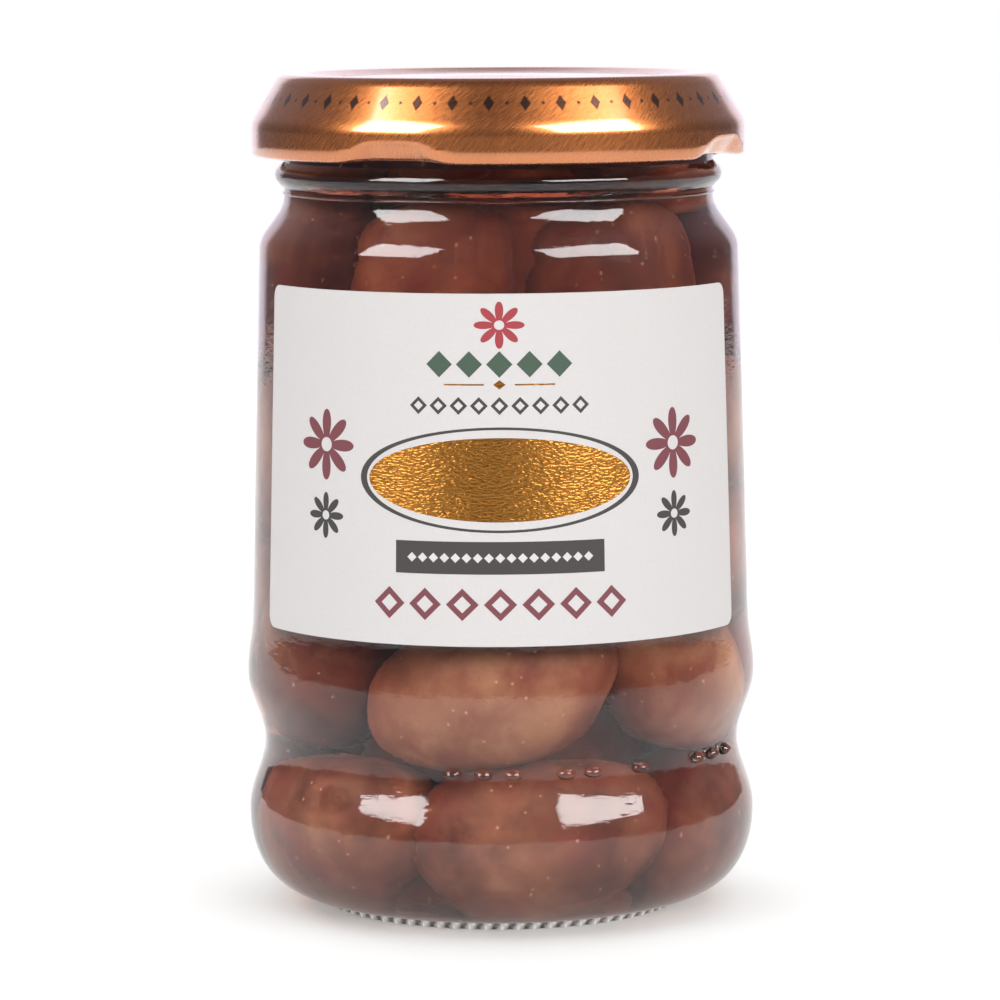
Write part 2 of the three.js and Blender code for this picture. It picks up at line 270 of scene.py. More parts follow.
# Outlines shared by the glass, the brine and the packing


def straight(start: Level, end: Level, steps: int) -> Outline:
    """Gives the points after the first of a straight line between two levels."""
    return [(mix(start[0], end[0], i / steps), mix(start[1], end[1], i / steps)) for i in range(1, steps + 1)]


def half_wave(start: Level, end: Level, steps: int) -> Outline:
    """Gives the points after the first of the soft step that blown glass has between two radii.

    Args:
        start: radius and height where the step starts.
        end: radius and height where it ends.
        steps: number of points.

    Returns:
        Points as radius and height.
    """
    points = []
    for i in range(1, steps + 1):
        eased = (1 - math.cos(math.pi * i / steps)) / 2
        points.append((mix(start[0], end[0], eased), mix(start[1], end[1], i / steps)))
    return points


@dataclass
class GlassJar:
    """A moulded food jar: knurled foot, two bulges with a waist between, tapered body, bead and thread.

    A level is a radius and a height on the outside of the glass.
    """

    height: float = 110.4
    wall: float = 2.2
    fine: int = 6
    foot_inner: float = 22.6
    foot_outer: float = 24.4
    push_up: float = 2.4
    # Share of the foot's inner radius and of the push-up's height, from its middle outwards
    push_up_curve: tuple[Level, ...] = ((0, 1), (0.4, 0.97), (0.8, 0.7), (0.94, 0.4), (1, 0))
    lip: Level = (24.9, 1.2)
    heel_run: float = 0.68
    heel_climb: float = 0.45
    heel_swell: float = 0.1
    lower_bulge: Level = (34.13, 12.6)
    waist: Level = (31.98, 21.9)
    upper_bulge: Level = (34.22, 31.2)
    cone_foot: Level = (33.42, 39.5)
    cone_top: Level = (32.05, 88.0)
    neck: Level = (28.7, 95.0)
    # How far the ledge stands proud of the neck, and its height
    ledge: Level = (0.2, 95.5)
    ledge_half: float = 0.2
    bead: Level = (29.87, 97.9)
    bead_half: float = 1.8
    rim_round: float = 0.9
    neck_end: float = 104.5
    mouth_start: float = 103.0
    floor: Level = (22.8, 3.0)
    floor_middle: float = 4.8
    sides: int = 288
    nub_bearings: tuple[float, ...] = (-11.4, -4.2, 2.7, 15.1, 21.8, 34.3, 53.2, 59.8, 66.8)
    nub_half: tuple[float, float, float] = (1.25, 1.2, 0.82)
    knurl_depth: float = 0.45
    knurl_steps: int = 4
    knurl_slant: float = 2.6
    thread_count: int = 4
    thread_sweep: float = 82
    thread_reach: float = 30.6
    thread_height: float = 1.5
    thread_start: float = 99.9
    thread_rise: float = 3.6
    thread_taper: float = 12
    thread_end: float = 0.45
    thread_crest: float = 0.32
    thread_steps: int = 48

    def heel(self, start: Level, bulge: Level, steps: int) -> Outline:
        """Gives the points after the first of the curve from the foot's lip up to the lower bulge.

        Args:
            start: radius and height at the lip.
            bulge: radius and height of the bulge.
            steps: number of points.

        Returns:
            Points as radius and height.
        """
        reach, climb = bulge[0] - start[0], bulge[1] - start[1]
        ends = [
            Vector(start),
            Vector((start[0] + self.heel_run * reach, start[1])),
            Vector((bulge[0] + self.heel_swell, start[1] + self.heel_climb * climb)),
            Vector(bulge),
        ]
        points = []
        for i in range(1, steps + 1):
            s = i / steps
            weights = ((1 - s) ** 3, 3 * s * (1 - s) ** 2, 3 * s**2 * (1 - s), s**3)
            spot = sum((end * weight for end, weight in zip(ends, weights)), Vector((0, 0)))
            points.append((spot.x, spot.y))
        return points

    def inset(self, level: Level) -> Level:
        """Gives a level of the outside on the inner face of the wall."""
        return (level[0] - self.wall, level[1])

    def cavity(self, fine: int = 1) -> Outline:
        """Gives the cavity's outline from the middle of its floor up to the neck.

        Args:
            fine: how many times finer the curves are than in the plain solid.

        Returns:
            Points as radius and height.
        """
        lower, top = self.inset(self.lower_bulge), (self.cone_top[0] - self.wall, self.cone_top[1] - 1)
        return [
            (0, self.floor_middle),
            (self.floor[0] * 0.6, (self.floor[1] + self.floor_middle) / 2),
            self.floor,
            *self.heel(self.floor, lower, 2 * fine),
            *half_wave(lower, self.inset(self.waist), 2 * fine),
            *half_wave(self.inset(self.waist), self.inset(self.upper_bulge), 2 * fine),
            *half_wave(self.inset(self.upper_bulge), self.inset(self.cone_foot), 2 * fine),
            top,
            *half_wave(top, self.inset(self.neck), 2 * fine),
        ]

    def outside(self) -> Outline:
        """Gives the outside from the middle of the push-up, over the foot and up to the bead's upper edge.

        Returns:
            Points as radius and height.
        """
        bead = []
        for i in range(21):
            share = i / 10 - 1
            stand = (self.bead[0] - self.neck[0]) * math.cos(math.pi / 2 * share)
            bead.append((self.neck[0] + stand, self.bead[1] + share * self.bead_half))
        proud, middle = self.ledge
        ledge = [
            (self.neck[0] + proud * math.cos(math.pi / 2 * i / 3), middle + self.ledge_half * i / 3)
            for i in range(-3, 4)
        ]
        edge = (self.foot_outer, 0)
        return [
            *((self.foot_inner * wide, self.push_up * high) for wide, high in self.push_up_curve),
            ((self.foot_inner + self.foot_outer) / 2, 0),
            edge,
            *straight(edge, self.lip, 6),
            *self.heel(self.lip, self.lower_bulge, 26),
            *half_wave(self.lower_bulge, self.waist, 16),
            *half_wave(self.waist, self.upper_bulge, 16),
            *half_wave(self.upper_bulge, self.cone_foot, 10),
            *straight(self.cone_foot, self.cone_top, 12),
            *half_wave(self.cone_top, self.neck, 16),
            *ledge,
            *bead,
        ]

    def rim(self, steps: int) -> Outline:
        """Gives the sealing rim, rounded over from the outer wall of the neck to the inner one.

        Args:
            steps: number of facets.

        Returns:
            Points as radius and height.
        """
        half = self.wall / 2
        middle, low = self.neck[0] - half, self.height - self.rim_round
        turns = [math.pi * i / steps for i in range(steps + 1)]
        return [(middle + half * math.cos(a), low + self.rim_round * math.sin(a)) for a in turns]

    def knurl(self, corner: Vector) -> Vector:
        """Sinks the glass between the slanted crescents that ring the side of the foot.

        Args:
            corner: a corner of the glass in millimetres.

        Returns:
            Its new place.
        """
        radius = math.hypot(corner.x, corner.y)
        share = corner.z / self.lip[1]
        if share > 0.99 or radius < self.foot_outer - 0.1:
            return corner
        sunk = self.knurl_depth * self.valley(corner) * math.sqrt(1 - share)
        return Vector((corner.x * (1 - sunk / radius), corner.y * (1 - sunk / radius), corner.z))

    def nub(self, bearing: float) -> Object:
        """Makes one small oval nub of the waist.

        Args:
            bearing: where it stands.

        Returns:
            The nub.
        """
        spot = place_at(bearing, *self.waist)
        deselect_all()
        bpy.ops.mesh.primitive_uv_sphere_add(
            segments=24, ring_count=12, radius=MM, location=spot * MM, scale=self.nub_half,
            rotation=(0, 0, math.radians(bearing)),
        )
        nub = started("nub")
        apply_place(nub)
        return nub

    def thread(self, first: float) -> Object:
        """Makes one thread start, a low bar that climbs round the neck and fades out at both ends.

        Args:
            first: bearing of its low end.

        Returns:
            The bar, sunk halfway into the glass.
        """
        root = self.neck[0] - self.wall / 2
        deselect_all()
        bpy.ops.mesh.primitive_cube_add(size=MM, scale=(self.thread_sweep, 1, 1))
        bar = started("thread")
        apply_place(bar)
        bpy.ops.object.mode_set(mode="EDIT")
        for i in range(1, self.thread_steps):
            bpy.ops.mesh.select_all(action="SELECT")
            across = (i / self.thread_steps - 0.5) * self.thread_sweep * MM
            bpy.ops.mesh.bisect(plane_co=(across, 0, 0), plane_no=(1, 0, 0))
        bpy.ops.object.mode_set(mode="OBJECT")

        def wrap(corner: Vector) -> Vector:
            """Bends the straight bar round the neck.

            Args:
                corner: a corner of the bar in millimetres.

            Returns:
                Its new place.
            """
            turned = corner.x + self.thread_sweep / 2
            from_end = min(turned, self.thread_sweep - turned)
            stand = (self.thread_reach - root) * min(1.0, self.thread_end + from_end / self.thread_taper)
            climb = self.thread_rise * turned / self.thread_sweep
            middle = self.thread_start + climb + self.thread_height / 2
            outer = corner.y < 0
            half = self.thread_height * (self.thread_crest if outer else 0.5)
            height = middle + math.copysign(half, corner.z)
            return place_at(first + turned, root + stand if outer else root, height)

        move_corners(bar, wrap)
        return bar

    def valley(self, corner: Vector) -> float:
        """Gives how far a place on the side of the foot lies between two crescents.

        Args:
            corner: the place in millimetres.

        Returns:
            0 on a crescent and 1 midway between two.
        """
        ribs = self.sides / self.knurl_steps
        angle = math.atan2(corner.x, -corner.y)
        return (1 - math.cos(angle * ribs - self.knurl_slant * (corner.z / self.lip[1]) ** 2)) / 2

    def mark_surface(self, glass: Object) -> None:
        """Marks the glass for its finish.

        "bare" is the glass that meets air, because glass that is wet with brine hardly mirrors. "frost" is
        the side of the foot, whose crescents scatter light.

        Args:
            glass: the finished jar.
        """
        radii, heights = zip(*self.cavity(self.fine)[2:])
        bare, frost = [], []
        for corner in glass.data.vertices:
            spot = corner.co / MM
            radius = math.hypot(spot.x, spot.y)
            wet = radius < np.interp(spot.z, heights, radii) + 0.3 and spot.z > self.push_up + 0.2
            bare.append(0.0 if wet else 1.0)
            worn = max(1 - self.valley(spot), min(1.0, 3 * spot.z / self.lip[1] - 2))
            on_foot = spot.z < self.lip[1] + 0.05 and radius > self.foot_outer - 0.6
            frost.append(worn if on_foot else 0.0)
        mark_corners(glass, "bare", bare)
        mark_corners(glass, "frost", frost)

    def make(self) -> Object:
        """Makes the glass with its knurl, nubs and thread starts fused on.

        Returns:
            The jar as one closed mesh.
        """
        inside = [*self.cavity(self.fine), self.inset((self.neck[0], self.mouth_start))]
        outline = [*self.outside(), (self.neck[0], self.neck_end), *self.rim(10), *reversed(inside)]
        glass = turn_on_axis("glass_jar", outline, self.sides)
        move_corners(glass, self.knurl)
        spacing = 360 / self.thread_count
        extras = [self.nub(bearing) for bearing in self.nub_bearings]
        extras += [self.thread(spacing * i) for i in range(self.thread_count)]
        extra = join(extras, "moulded_relief")
        apply_modifier(glass, "BOOLEAN", object=extra, operation="UNION", solver="MANIFOLD")
        bpy.data.objects.remove(extra)
        smooth(glass, 35)
        self.mark_surface(glass)
        return glass


@dataclass
class Brine:
    """The liquid round the olives: it fills the cavity and reaches just into the glass."""

    jar: GlassJar
    reach: float = 0.06
    level: float = 107.6

    def make(self) -> Object:
        """Makes the body of liquid, closed at its level inside the neck.

        Returns:
            The brine, a closed mesh.
        """
        reach, neck = self.reach, self.jar.neck[0] - self.jar.wall
        walls = [(radius + reach, height) for radius, height in self.jar.cavity(self.jar.fine)[2:]]
        floor = [(0, self.jar.floor_middle - reach), (walls[0][0], walls[0][1] - reach)]
        surface = [(neck + reach, self.level), (neck - 1, self.level - 0.15), (0, self.level - 0.15)]
        liquid = turn_on_axis("brine", [*floor, *walls[1:], *surface], self.jar.sides)
        smooth(liquid, 50)
        return liquid


@dataclass
class LugLid:
    """A pressed metal twist-off lid: stepped panel, sloping shoulder, skirt, rolled rim and four lugs."""

    top: float = 111.3
    panel: float = 110.6
    button: float = 110.3
    button_radius: float = 9
    button_edge: float = 10.5
    panel_radius: float = 24.6
    ring_inner: float = 25.8
    ring_outer: float = 28.7
    radius: float = 33.0
    skirt_top: float = 105.0
    curl_top: float = 102.1
    rim: float = 100.4
    curl_width: float = 1.4
    sheet: float = 0.3
    lug_count: int = 4
    first_lug: float = -24.6
    lug_half: float = 17
    lug_flat: float = 4
    lug_arch: float = 2.8
    lug_slope: float = 0.57
    lug_lift: float = 0.4
    sides: int = 288

    def outline(self) -> Outline:
        """Gives the sheet from the middle of the top, down the outside, round the curl and up the inside.

        Returns:
            Points as radius and height.
        """
        half = self.curl_width / 2
        outer = [
            (0, self.button), (self.button_radius - 0.8, self.button),
            (self.button_radius, self.button + 0.05), (self.button_edge, self.panel - 0.04),
            (self.button_edge + 0.9, self.panel),
            (self.panel_radius - 0.8, self.panel), (self.panel_radius, self.panel + 0.08),
            (self.ring_inner, self.top - 0.12), (self.ring_inner + 0.7, self.top),
            (self.ring_outer - 0.4, self.top), (self.ring_outer + 0.25, self.top - 0.16),
            (self.ring_outer + 0.75, self.top - 0.52),
        ]
        slope = straight(outer[-1], (self.radius - 0.35, self.skirt_top + 0.45), 8)
        bend = [(self.radius - 0.12, self.skirt_top - 0.1), (self.radius, self.skirt_top - 0.8)]
        skirt = straight(bend[-1], (self.radius, self.curl_top), 8)
        turns = [math.radians(22.5 * i) for i in range(1, 9)]
        middle = self.radius - half
        curl = [(middle + half * math.cos(a), self.rim + half - half * math.sin(a)) for a in turns]
        inner_wall = self.radius - self.sheet
        inside = [
            (self.radius - self.curl_width, self.curl_top - 0.3), (inner_wall - 0.6, self.curl_top + 0.25),
            (inner_wall, self.curl_top + 0.8), (inner_wall, self.skirt_top - 0.8),
            (self.ring_outer + 0.55, self.top - self.sheet - 0.5), (self.ring_outer, self.top - self.sheet),
            (self.ring_inner + 0.5, self.top - self.sheet), (self.panel_radius, self.panel - self.sheet),
            (self.button_edge, self.panel - self.sheet), (self.button_radius, self.button - self.sheet),
            (0, self.button - self.sheet),
        ]
        return [*outer, *slope, *bend, *skirt, *curl, *inside]

    def pinch(self, corner: Vector) -> Vector:
        """Presses the skirt in and lifts its rim at each lug.

        Args:
            corner: a corner of the lid in millimetres.

        Returns:
            Its new place.
        """
        if corner.z > self.skirt_top - 0.7:
            return corner
        spacing = 360 / self.lug_count
        bearing = math.degrees(math.atan2(corner.x, -corner.y))
        past = bearing - self.first_lug
        off = abs(past - spacing * round(past / spacing))
        if off >= self.lug_half:
            return corner
        past_flat = max(0.0, off - self.lug_flat) / (self.lug_half - self.lug_flat)
        share = math.cos(math.pi / 2 * past_flat) ** 2
        below = max(0.0, self.rim + self.lug_arch * share - corner.z)
        radius = math.hypot(corner.x, corner.y) - below * self.lug_slope
        return place_at(bearing, radius, corner.z + self.lug_lift * share * min(1.0, below))

    def make(self) -> Object:
        """Makes the lid as one closed sheet with its curl.

        Returns:
            The lid.
        """
        lid = turn_on_axis("lug_lid", self.outline(), self.sides)
        move_corners(lid, self.pinch)
        smooth(lid, 50)
        return lid


@dataclass
class PaperLabel:
    """One sheet of paper wrapped round the front of the cone, with rounded corners and a generic print."""

    jar: GlassJar
    bottom: float = 38.9
    top: float = 84.1
    half_sweep: float = 65.6
    corner: float = 1.6
    # The grid's columns past this share of its half width crowd in past this share of the sheet's
    crowd_from: float = 0.94
    crowded: float = 0.957
    gap: float = 0.03
    sheet: float = 0.1

    def cone_radius(self, height: float) -> float:
        """Gives the outside radius of the glass cone at a height."""
        foot, top = self.jar.cone_foot, self.jar.cone_top
        return mix(foot[0], top[0], (height - foot[1]) / (top[1] - foot[1]))

    @property
    def middle_height(self) -> float:
        """Height of the label's middle."""
        return (self.bottom + self.top) / 2

    @property
    def half_size(self) -> tuple[float, float]:
        """Half the width along the glass and half the height of the flat sheet."""
        wide = math.radians(self.half_sweep) * self.cone_radius(self.middle_height)
        return (wide, (self.top - self.bottom) / 2)

    def round_corners(self, corner: Vector) -> Vector:
        """Shortens the columns of the flat sheet near its sides, which rounds its corners.

        Args:
            corner: a corner of the flat sheet in millimetres.

        Returns:
            Its new place.
        """
        wide, high = self.half_size
        short = max(0.0, self.corner - (wide - abs(corner.x)))
        cut = self.corner - math.sqrt(max(0.0, self.corner**2 - min(short, self.corner) ** 2))
        return Vector((corner.x, corner.y, corner.z * (high - cut) / high))

    def wrap(self, corner: Vector) -> Vector:
        """Lays the flat sheet, which faces -Y, on the glass.

        Args:
            corner: a corner of the flat sheet in millimetres.

        Returns:
            Its new place.
        """
        height = self.middle_height + corner.z
        radius = self.cone_radius(height) + self.gap - corner.y
        bearing = math.degrees(corner.x / self.cone_radius(self.middle_height))
        return place_at(bearing, radius, height)

    def make(self) -> Object:
        """Makes the wrapped sheet with a UV map that runs from 0 to 1 over its face.

        Returns:
            The label, a thin closed mesh.
        """
        wide, high = self.half_size

        def spread(corner: Vector) -> Vector:
            """Spreads the grid, which runs from -1 to 1, over the flat sheet."""
            return self.round_corners(Vector((self.crowd(corner.x) * wide, 0, corner.z * high)))

        deselect_all()
        bpy.ops.mesh.primitive_grid_add(
            x_subdivisions=150, y_subdivisions=60, size=2 * MM, rotation=(math.pi / 2, 0, 0)
        )
        sheet = started("paper_label")
        apply_place(sheet)
        move_corners(sheet, spread)
        layer = sheet.data.uv_layers.active or sheet.data.uv_layers.new(name="print")
        layer.name = "print"
        for loop in sheet.data.loops:
            corner = sheet.data.vertices[loop.vertex_index].co / MM
            layer.data[loop.index].uv = (corner.x / (2 * wide) + 0.5, corner.z / (2 * high) + 0.5)
        move_corners(sheet, self.wrap)
        apply_modifier(sheet, "SOLIDIFY", thickness=self.sheet * MM, offset=1)
        smooth(sheet, 40)
        return sheet

    def crowd(self, share: float) -> float:
        """Crowds the outer columns of the sheet into its rounded corners.

        Args:
            share: a column's place in the grid, from -1 to 1.

        Returns:
            Its place in the sheet, from -1 to 1.
        """
        if abs(share) <= self.crowd_from:
            return share * self.crowded / self.crowd_from
        past = (abs(share) - self.crowd_from) / (1 - self.crowd_from)
        return math.copysign(mix(self.crowded, 1, math.sin(math.pi / 2 * past)), share)


@dataclass
class Olive:
    """One olive in the jar: its middle and long axis in millimetres, and its size against the usual one."""

    middle: Vector
    axis: Vector
    home: tuple[Vector, Vector] | None = None
    scale: float = 1.0


@dataclass
class OliveHeap:
    """Long, large olives, settled against each other and the glass by relaxation."""

    jar: GlassJar
    half_length: float = 15.0
    half_width: float = 9.3
    spread: float = 0.06
    clearance: float = 0.9
    top: float = 107
    sweeps: int = 300
    sag: float = 0.04
    hold: float = 0.6
    wall_reach: float = 21.2
    neck_reach: float = 14.5
    neck_from: float = 95
    # Bearing, height and distance of the middle from the axis, then bearing and rise of the long axis
    shown: tuple[tuple[float, float, float, float, float], ...] = (
        (12, 12.8, 20.8, 101, 2),
        (-54, 12.6, 20.8, 30, 8),
        (77, 14.6, 20.8, 160, 28),
        (-1, 32.6, 21.0, 88, 20),
        (-66, 38.0, 21.2, 24, 62),
        (58, 34.4, 21.2, 130, -40),
        (-33, 80.2, 13.4, 65, 84),
        (-92, 84.0, 20.0, 14, 70),
        (48, 79.6, 15.6, 120, 76),
    )
    # Height, how many stand round the wall, first bearing and step
    rings: tuple[tuple[float, int, float, float], ...] = (
        (13.5, 2, 148, 66),
        (32.0, 2, 130, 70),
        (50.0, 5, 20, 72),
        (65.0, 5, -14, 72),
        (81.0, 2, 116, 72),
        (99.0, 2, -40, 165),
    )
    # How far an olive of a ring may stray in bearing, height, turn and rise
    stray: tuple[float, float, float, float] = (6, 2, 35, 45)
    middle_heights: tuple[float, ...] = (13, 34, 50, 66)
    middle_rise: float = 60
    # Place along the long axis and radius of each ball that stands for an olive while it is packed
    balls: tuple[tuple[float, float], ...] = ((-0.6, 0.64), (-0.33, 0.91), (0, 1), (0.33, 0.91), (0.6, 0.64))
    plump: float = 0.45
    uneven: float = 0.03
    swell: float = 0.05
    # Tone of each olive that shows, partly ripeness and partly painted shade, then the middle and spread of
    # the ripeness of the others
    tones: tuple[float, ...] = (0.3, 0.45, 0.15, 0.6, 0.25, 0.65, 0.5, 0.2, 0.2)
    other_tones: tuple[float, float] = (0.35, 0.3)
    core_radius: float = 14.0
    core_skirt: float = 19.5
    core_foot: float = 3.6
    core_top: float = 96.0
    core_tone: float = 0.4
    core_lump: float = 15
    core_relief: float = 5
    ripple_size: float = 6
    ripple_relief: float = 0.55
    olives: list[Olive] = field(default_factory=list)

    @staticmethod
    def even(index: int, purpose: int) -> float:
        """Gives one of an even spread of numbers from -1 to 1 for an olive and a purpose."""
        return 2 * ((index * 0.6180339887 + purpose * 0.3819660113) % 1) - 1

    def loose(self) -> list[Olive]:
        """Gives the olives before packing: those that show, then the rings, then the ones in the middle.

        Returns:
            The olives, not yet clear of each other.
        """
        olives: list[Olive] = []
        stray_bearing, stray_height, stray_turn, stray_rise = self.stray
        for bearing, height, reach, along, rise in self.shown:
            middle, axis = place_at(bearing, reach, height), direction(along, rise)
            olives.append(Olive(middle.copy(), axis.copy(), (middle, axis)))
        for height, count, first, step in self.rings:
            reach = self.neck_reach if height > self.neck_from else self.wall_reach
            for i in range(count):
                k = len(olives)
                bearing = first + step * i + stray_bearing * self.even(k, 1)
                level = height + stray_height * self.even(k, 3)
                axis = direction(bearing + 90 + stray_turn * self.even(k, 2), stray_rise * self.even(k, 4))
                olives.append(Olive(place_at(bearing, reach, level), axis))
        for height in self.middle_heights:
            k = len(olives)
            axis = direction(180 * self.even(k, 2), self.middle_rise)
            olives.append(Olive(place_at(180 * self.even(k, 1), 2, height), axis))
        for k, olive in enumerate(olives):
            olive.scale = 1 + self.spread * self.even(k, 5)
        return olives

    def contain(self, place: Vector, radius: float, outline: Sequence[Vector]) -> Vector:
        """Pushes a ball in from every stretch of the cavity's outline that it comes too close to.

        Args:
            place: the ball's middle.
            radius: the ball's radius.
            outline: the cavity's outline as radius and height.

        Returns:
            The ball's new middle.
        """
        reach = math.hypot(place.x, place.y)
        spot = Vector((reach, place.z))
        for start, end in zip(outline, outline[1:]):
            stretch = end - start
            share = (spot - start).dot(stretch) / stretch.length_squared
            away = spot - (start + stretch * min(1.0, max(0.0, share)))
            short = radius + self.clearance - away.length
            if short > 0:
                spot += away.normalized() * short
        return Vector((place.x * spot.x / reach, place.y * spot.x / reach, spot.y))

    def settle(self, places: np.ndarray, radii: np.ndarray, owners: np.ndarray) -> None:
        """Pushes balls of different olives apart where they overlap, pair by pair.

        Args:
            places: the balls' middles, which are changed.
            radii: their radii.
            owners: the number of each ball's olive.
        """
        gaps = np.linalg.norm(places[:, None] - places[None, :], axis=2)
        close = (gaps < radii[:, None] + radii[None, :]) & (owners[:, None] != owners[None, :])
        for i, j in np.argwhere(np.triu(close)):
            gap = places[j] - places[i]
            distance = float(np.linalg.norm(gap))
            overlap = radii[i] + radii[j] - distance
            if overlap > 0:
                push = gap * (overlap / 2 / distance)
                places[i] -= push
                places[j] += push

    def pack(self) -> None:
        """Settles the olives against each other and the glass."""
        neck = self.jar.neck[0] - self.jar.wall
        outline = [Vector(point) for point in (*self.jar.cavity(), (neck, self.top), (0, self.top))]
        olives = self.loose()
        count = len(self.balls)
        owners = np.repeat(np.arange(len(olives)), count)
        radii = np.array([size * self.half_width * olive.scale for olive in olives for _, size in self.balls])
        for _ in range(self.sweeps):
            for olive in olives:
                if olive.home:
                    olive.middle = olive.middle.lerp(olive.home[0], self.hold)
                    olive.axis = olive.axis.lerp(olive.home[1], self.hold).normalized()
            places = np.array([
                olive.middle + olive.axis * (along * self.half_length * olive.scale)
                for olive in olives for along, _ in self.balls
            ])
            places[:, 2] -= self.sag
            self.settle(places, radii, owners)
            kept = [self.contain(Vector(place), radius, outline) for place, radius in zip(places, radii)]
            for k, olive in enumerate(olives):
                own = kept[k * count : (k + 1) * count]
                olive.middle = sum(own, Vector((0, 0, 0))) / count
                axis = sum((place * along for place, (along, _) in zip(own, self.balls)), Vector((0, 0, 0)))
                olive.axis = axis.normalized()
        self.olives = olives

    def one_olive(self) -> Object:
        """Models the one olive that all the others are copied from, with a stem scar and a small point.

        Returns:
            An olive of half length and half width 1, long along Z.
        """
        deselect_all()
        bpy.ops.mesh.primitive_uv_sphere_add(segments=40, ring_count=28, radius=1)
        olive = started("olive")
        bpy.ops.object.mode_set(mode="EDIT")
        shape = bmesh.from_edit_mesh(olive.data)
        bpy.ops.mesh.select_all(action="DESELECT")
        for face in shape.faces:
            face.select = face.calc_center_median().z > math.cos(math.radians(7))
        bmesh.update_edit_mesh(olive.data)
        bpy.ops.mesh.inset(thickness=0.02, depth=-0.03)
        bpy.ops.mesh.select_all(action="DESELECT")
        for corner in shape.verts:
            corner.select = corner.co.z < -0.995
        bmesh.update_edit_mesh(olive.data)
        bpy.ops.transform.translate(value=(0, 0, -0.03))
        bpy.ops.object.mode_set(mode="OBJECT")
        return olive

    def shaped(self, pattern: Object, olive: Olive, index: int) -> Object:
        """Copies the pattern olive to one place in the jar, a little uneven as each fruit is.

        Args:
            pattern: the olive to copy.
            olive: where it lies.
            index: its number, which varies its form and its tone; an olive that shows takes its listed tone,
                which is partly painted shade.

        Returns:
            The olive's own mesh.
        """
        piece = pattern.copy()
        piece.data = pattern.data.copy()
        bpy.context.collection.objects.link(piece)
        long_half = self.half_length * olive.scale * (1 + self.uneven * self.even(index, 6)) + self.plump
        wide_half = self.half_width * olive.scale + self.plump
        swell, lean = self.swell * self.even(index, 7), self.swell * self.even(index, 8)
        flip = -1 if self.even(index, 9) < 0 else 1
        turn = olive.axis.to_track_quat("Z", "Y")

        def shape(corner: Vector) -> Vector:
            """Swells, leans and turns the pattern, and puts it in its place.

            Args:
                corner: a corner of the pattern, whose half sizes are 1 metre.

            Returns:
                Its new place in millimetres.
            """
            unit = corner * MM
            along = unit.z * flip
            wide = wide_half * (1 + swell * along - self.uneven * math.cos(3 * along + index))
            across, deep = unit.x * wide + lean * wide * along**2, unit.y * wide * (1 - self.uneven * along)
            return turn @ Vector((across, deep, along * long_half)) + olive.middle

        move_corners(piece, shape)
        if flip < 0:
            piece.data.flip_normals()
        tone = self.other_tones[0] + self.other_tones[1] * self.even(index, 10)
        # An olive that shows takes its listed tone, which is partly ripeness and partly painted shade
        if index < len(self.tones):
            tone = self.tones[index]
        mark_corners(piece, "ripeness_and_painted_shade", [tone] * len(piece.data.vertices))
        return piece

    def core(self) -> Object:
        """Makes the inside of the heap, a column of rounded lumps that shows in the gaps between the olives.

        Returns:
            The column, a closed mesh.
        """
        radius, foot, top = self.core_radius, self.core_foot, self.core_top
        skirt, waist = self.core_skirt, (radius, foot + 9)
        outline = [
            (0, foot + 1.3), (skirt - 4, foot + 0.2), (skirt, foot + 1.4), (skirt, foot + 5),
            waist, *straight(waist, (radius, top - 3), 60), (radius - 3, top), (0, top),
        ]
        core = turn_on_axis("core", outline, 64)
        above = [corner.index for corner in core.data.vertices if corner.co.z > (foot + 8) * MM]
        core.vertex_groups.new(name="raised").add(above, 1.0, "REPLACE")
        displace(
            core, "VORONOI", self.core_lump, {"distance_metric": "DISTANCE_SQUARED"},
            strength=-self.core_relief * MM, mid_level=0.3, vertex_group="raised",
        )
        mark_corners(core, "ripeness_and_painted_shade", [self.core_tone] * len(core.data.vertices))
        return core

    def make(self) -> Object:
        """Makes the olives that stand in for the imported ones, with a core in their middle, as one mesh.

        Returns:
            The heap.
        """
        self.pack()
        pattern = self.one_olive()
        pieces = [
            self.shaped(pattern, olive, k) for k, olive in enumerate(self.olives)
            if math.hypot(olive.middle.x, olive.middle.y) > self.core_radius / 2
        ]
        bpy.data.objects.remove(pattern)
        heap = join([*pieces, self.core()], "olive_heap")
        displace(
            heap, "CLOUDS", self.ripple_size, {"noise_depth": 2},
            strength=self.ripple_relief * MM, mid_level=0.5,
        )
        smooth(heap, 60)
        return heap


# Finishes


def add_node(
    tree: NodeTree, kind: str, inputs: Sequence[object] | dict[str | int, object] = (), **settings: object
) -> Node:
    """Adds a shader node with its settings and links.

    Args:
        tree: the material's or world's nodes.
        kind: the node's type, without "ShaderNode" in front.
        inputs: the inputs in order, or by name or number. Each is a value, a socket to link from, or a node
            whose first output is linked.
        settings: properties of the node by name.

    Returns:
        The new node.
    """
    node = tree.nodes.new("ShaderNode" + kind)
    for key, value in settings.items():
        setattr(node, key, value)
    for key, value in inputs.items() if isinstance(inputs, dict) else enumerate(inputs):
        source = value.outputs[0] if isinstance(value, Node) else value
        if isinstance(source, NodeSocket):
            tree.links.new(source, node.inputs[key])
        else:
            node.inputs[key].default_value = source
    return node


def new_material(name: str) -> tuple[Material, NodeTree]:
    """Makes a material with an empty node tree.

    Args:
        name: the material's name.

    Returns:
        The material and its tree.
    """
    material = bpy.data.materials.new(name)
    material.use_nodes = True
    material.node_tree.nodes.clear()
    return material, material.node_tree


def let_lamps_through(tree: NodeTree, body: Node, tint: Colour) -> Node:
    """Puts a clear shader in for rays from lamps, so that light reaches what is behind the glass.

    Args:
        tree: the material's nodes.
        body: the shader that everything else sees.
        tint: colour of the light let through.

    Returns:
        The shader for the material's surface.
    """
    from_lamp = add_node(tree, "LightPath").outputs["Is Shadow Ray"]
    clear = add_node(tree, "BsdfTransparent", {"Color": tint})
    return add_node(tree, "MixShader", (from_lamp, body, clear))


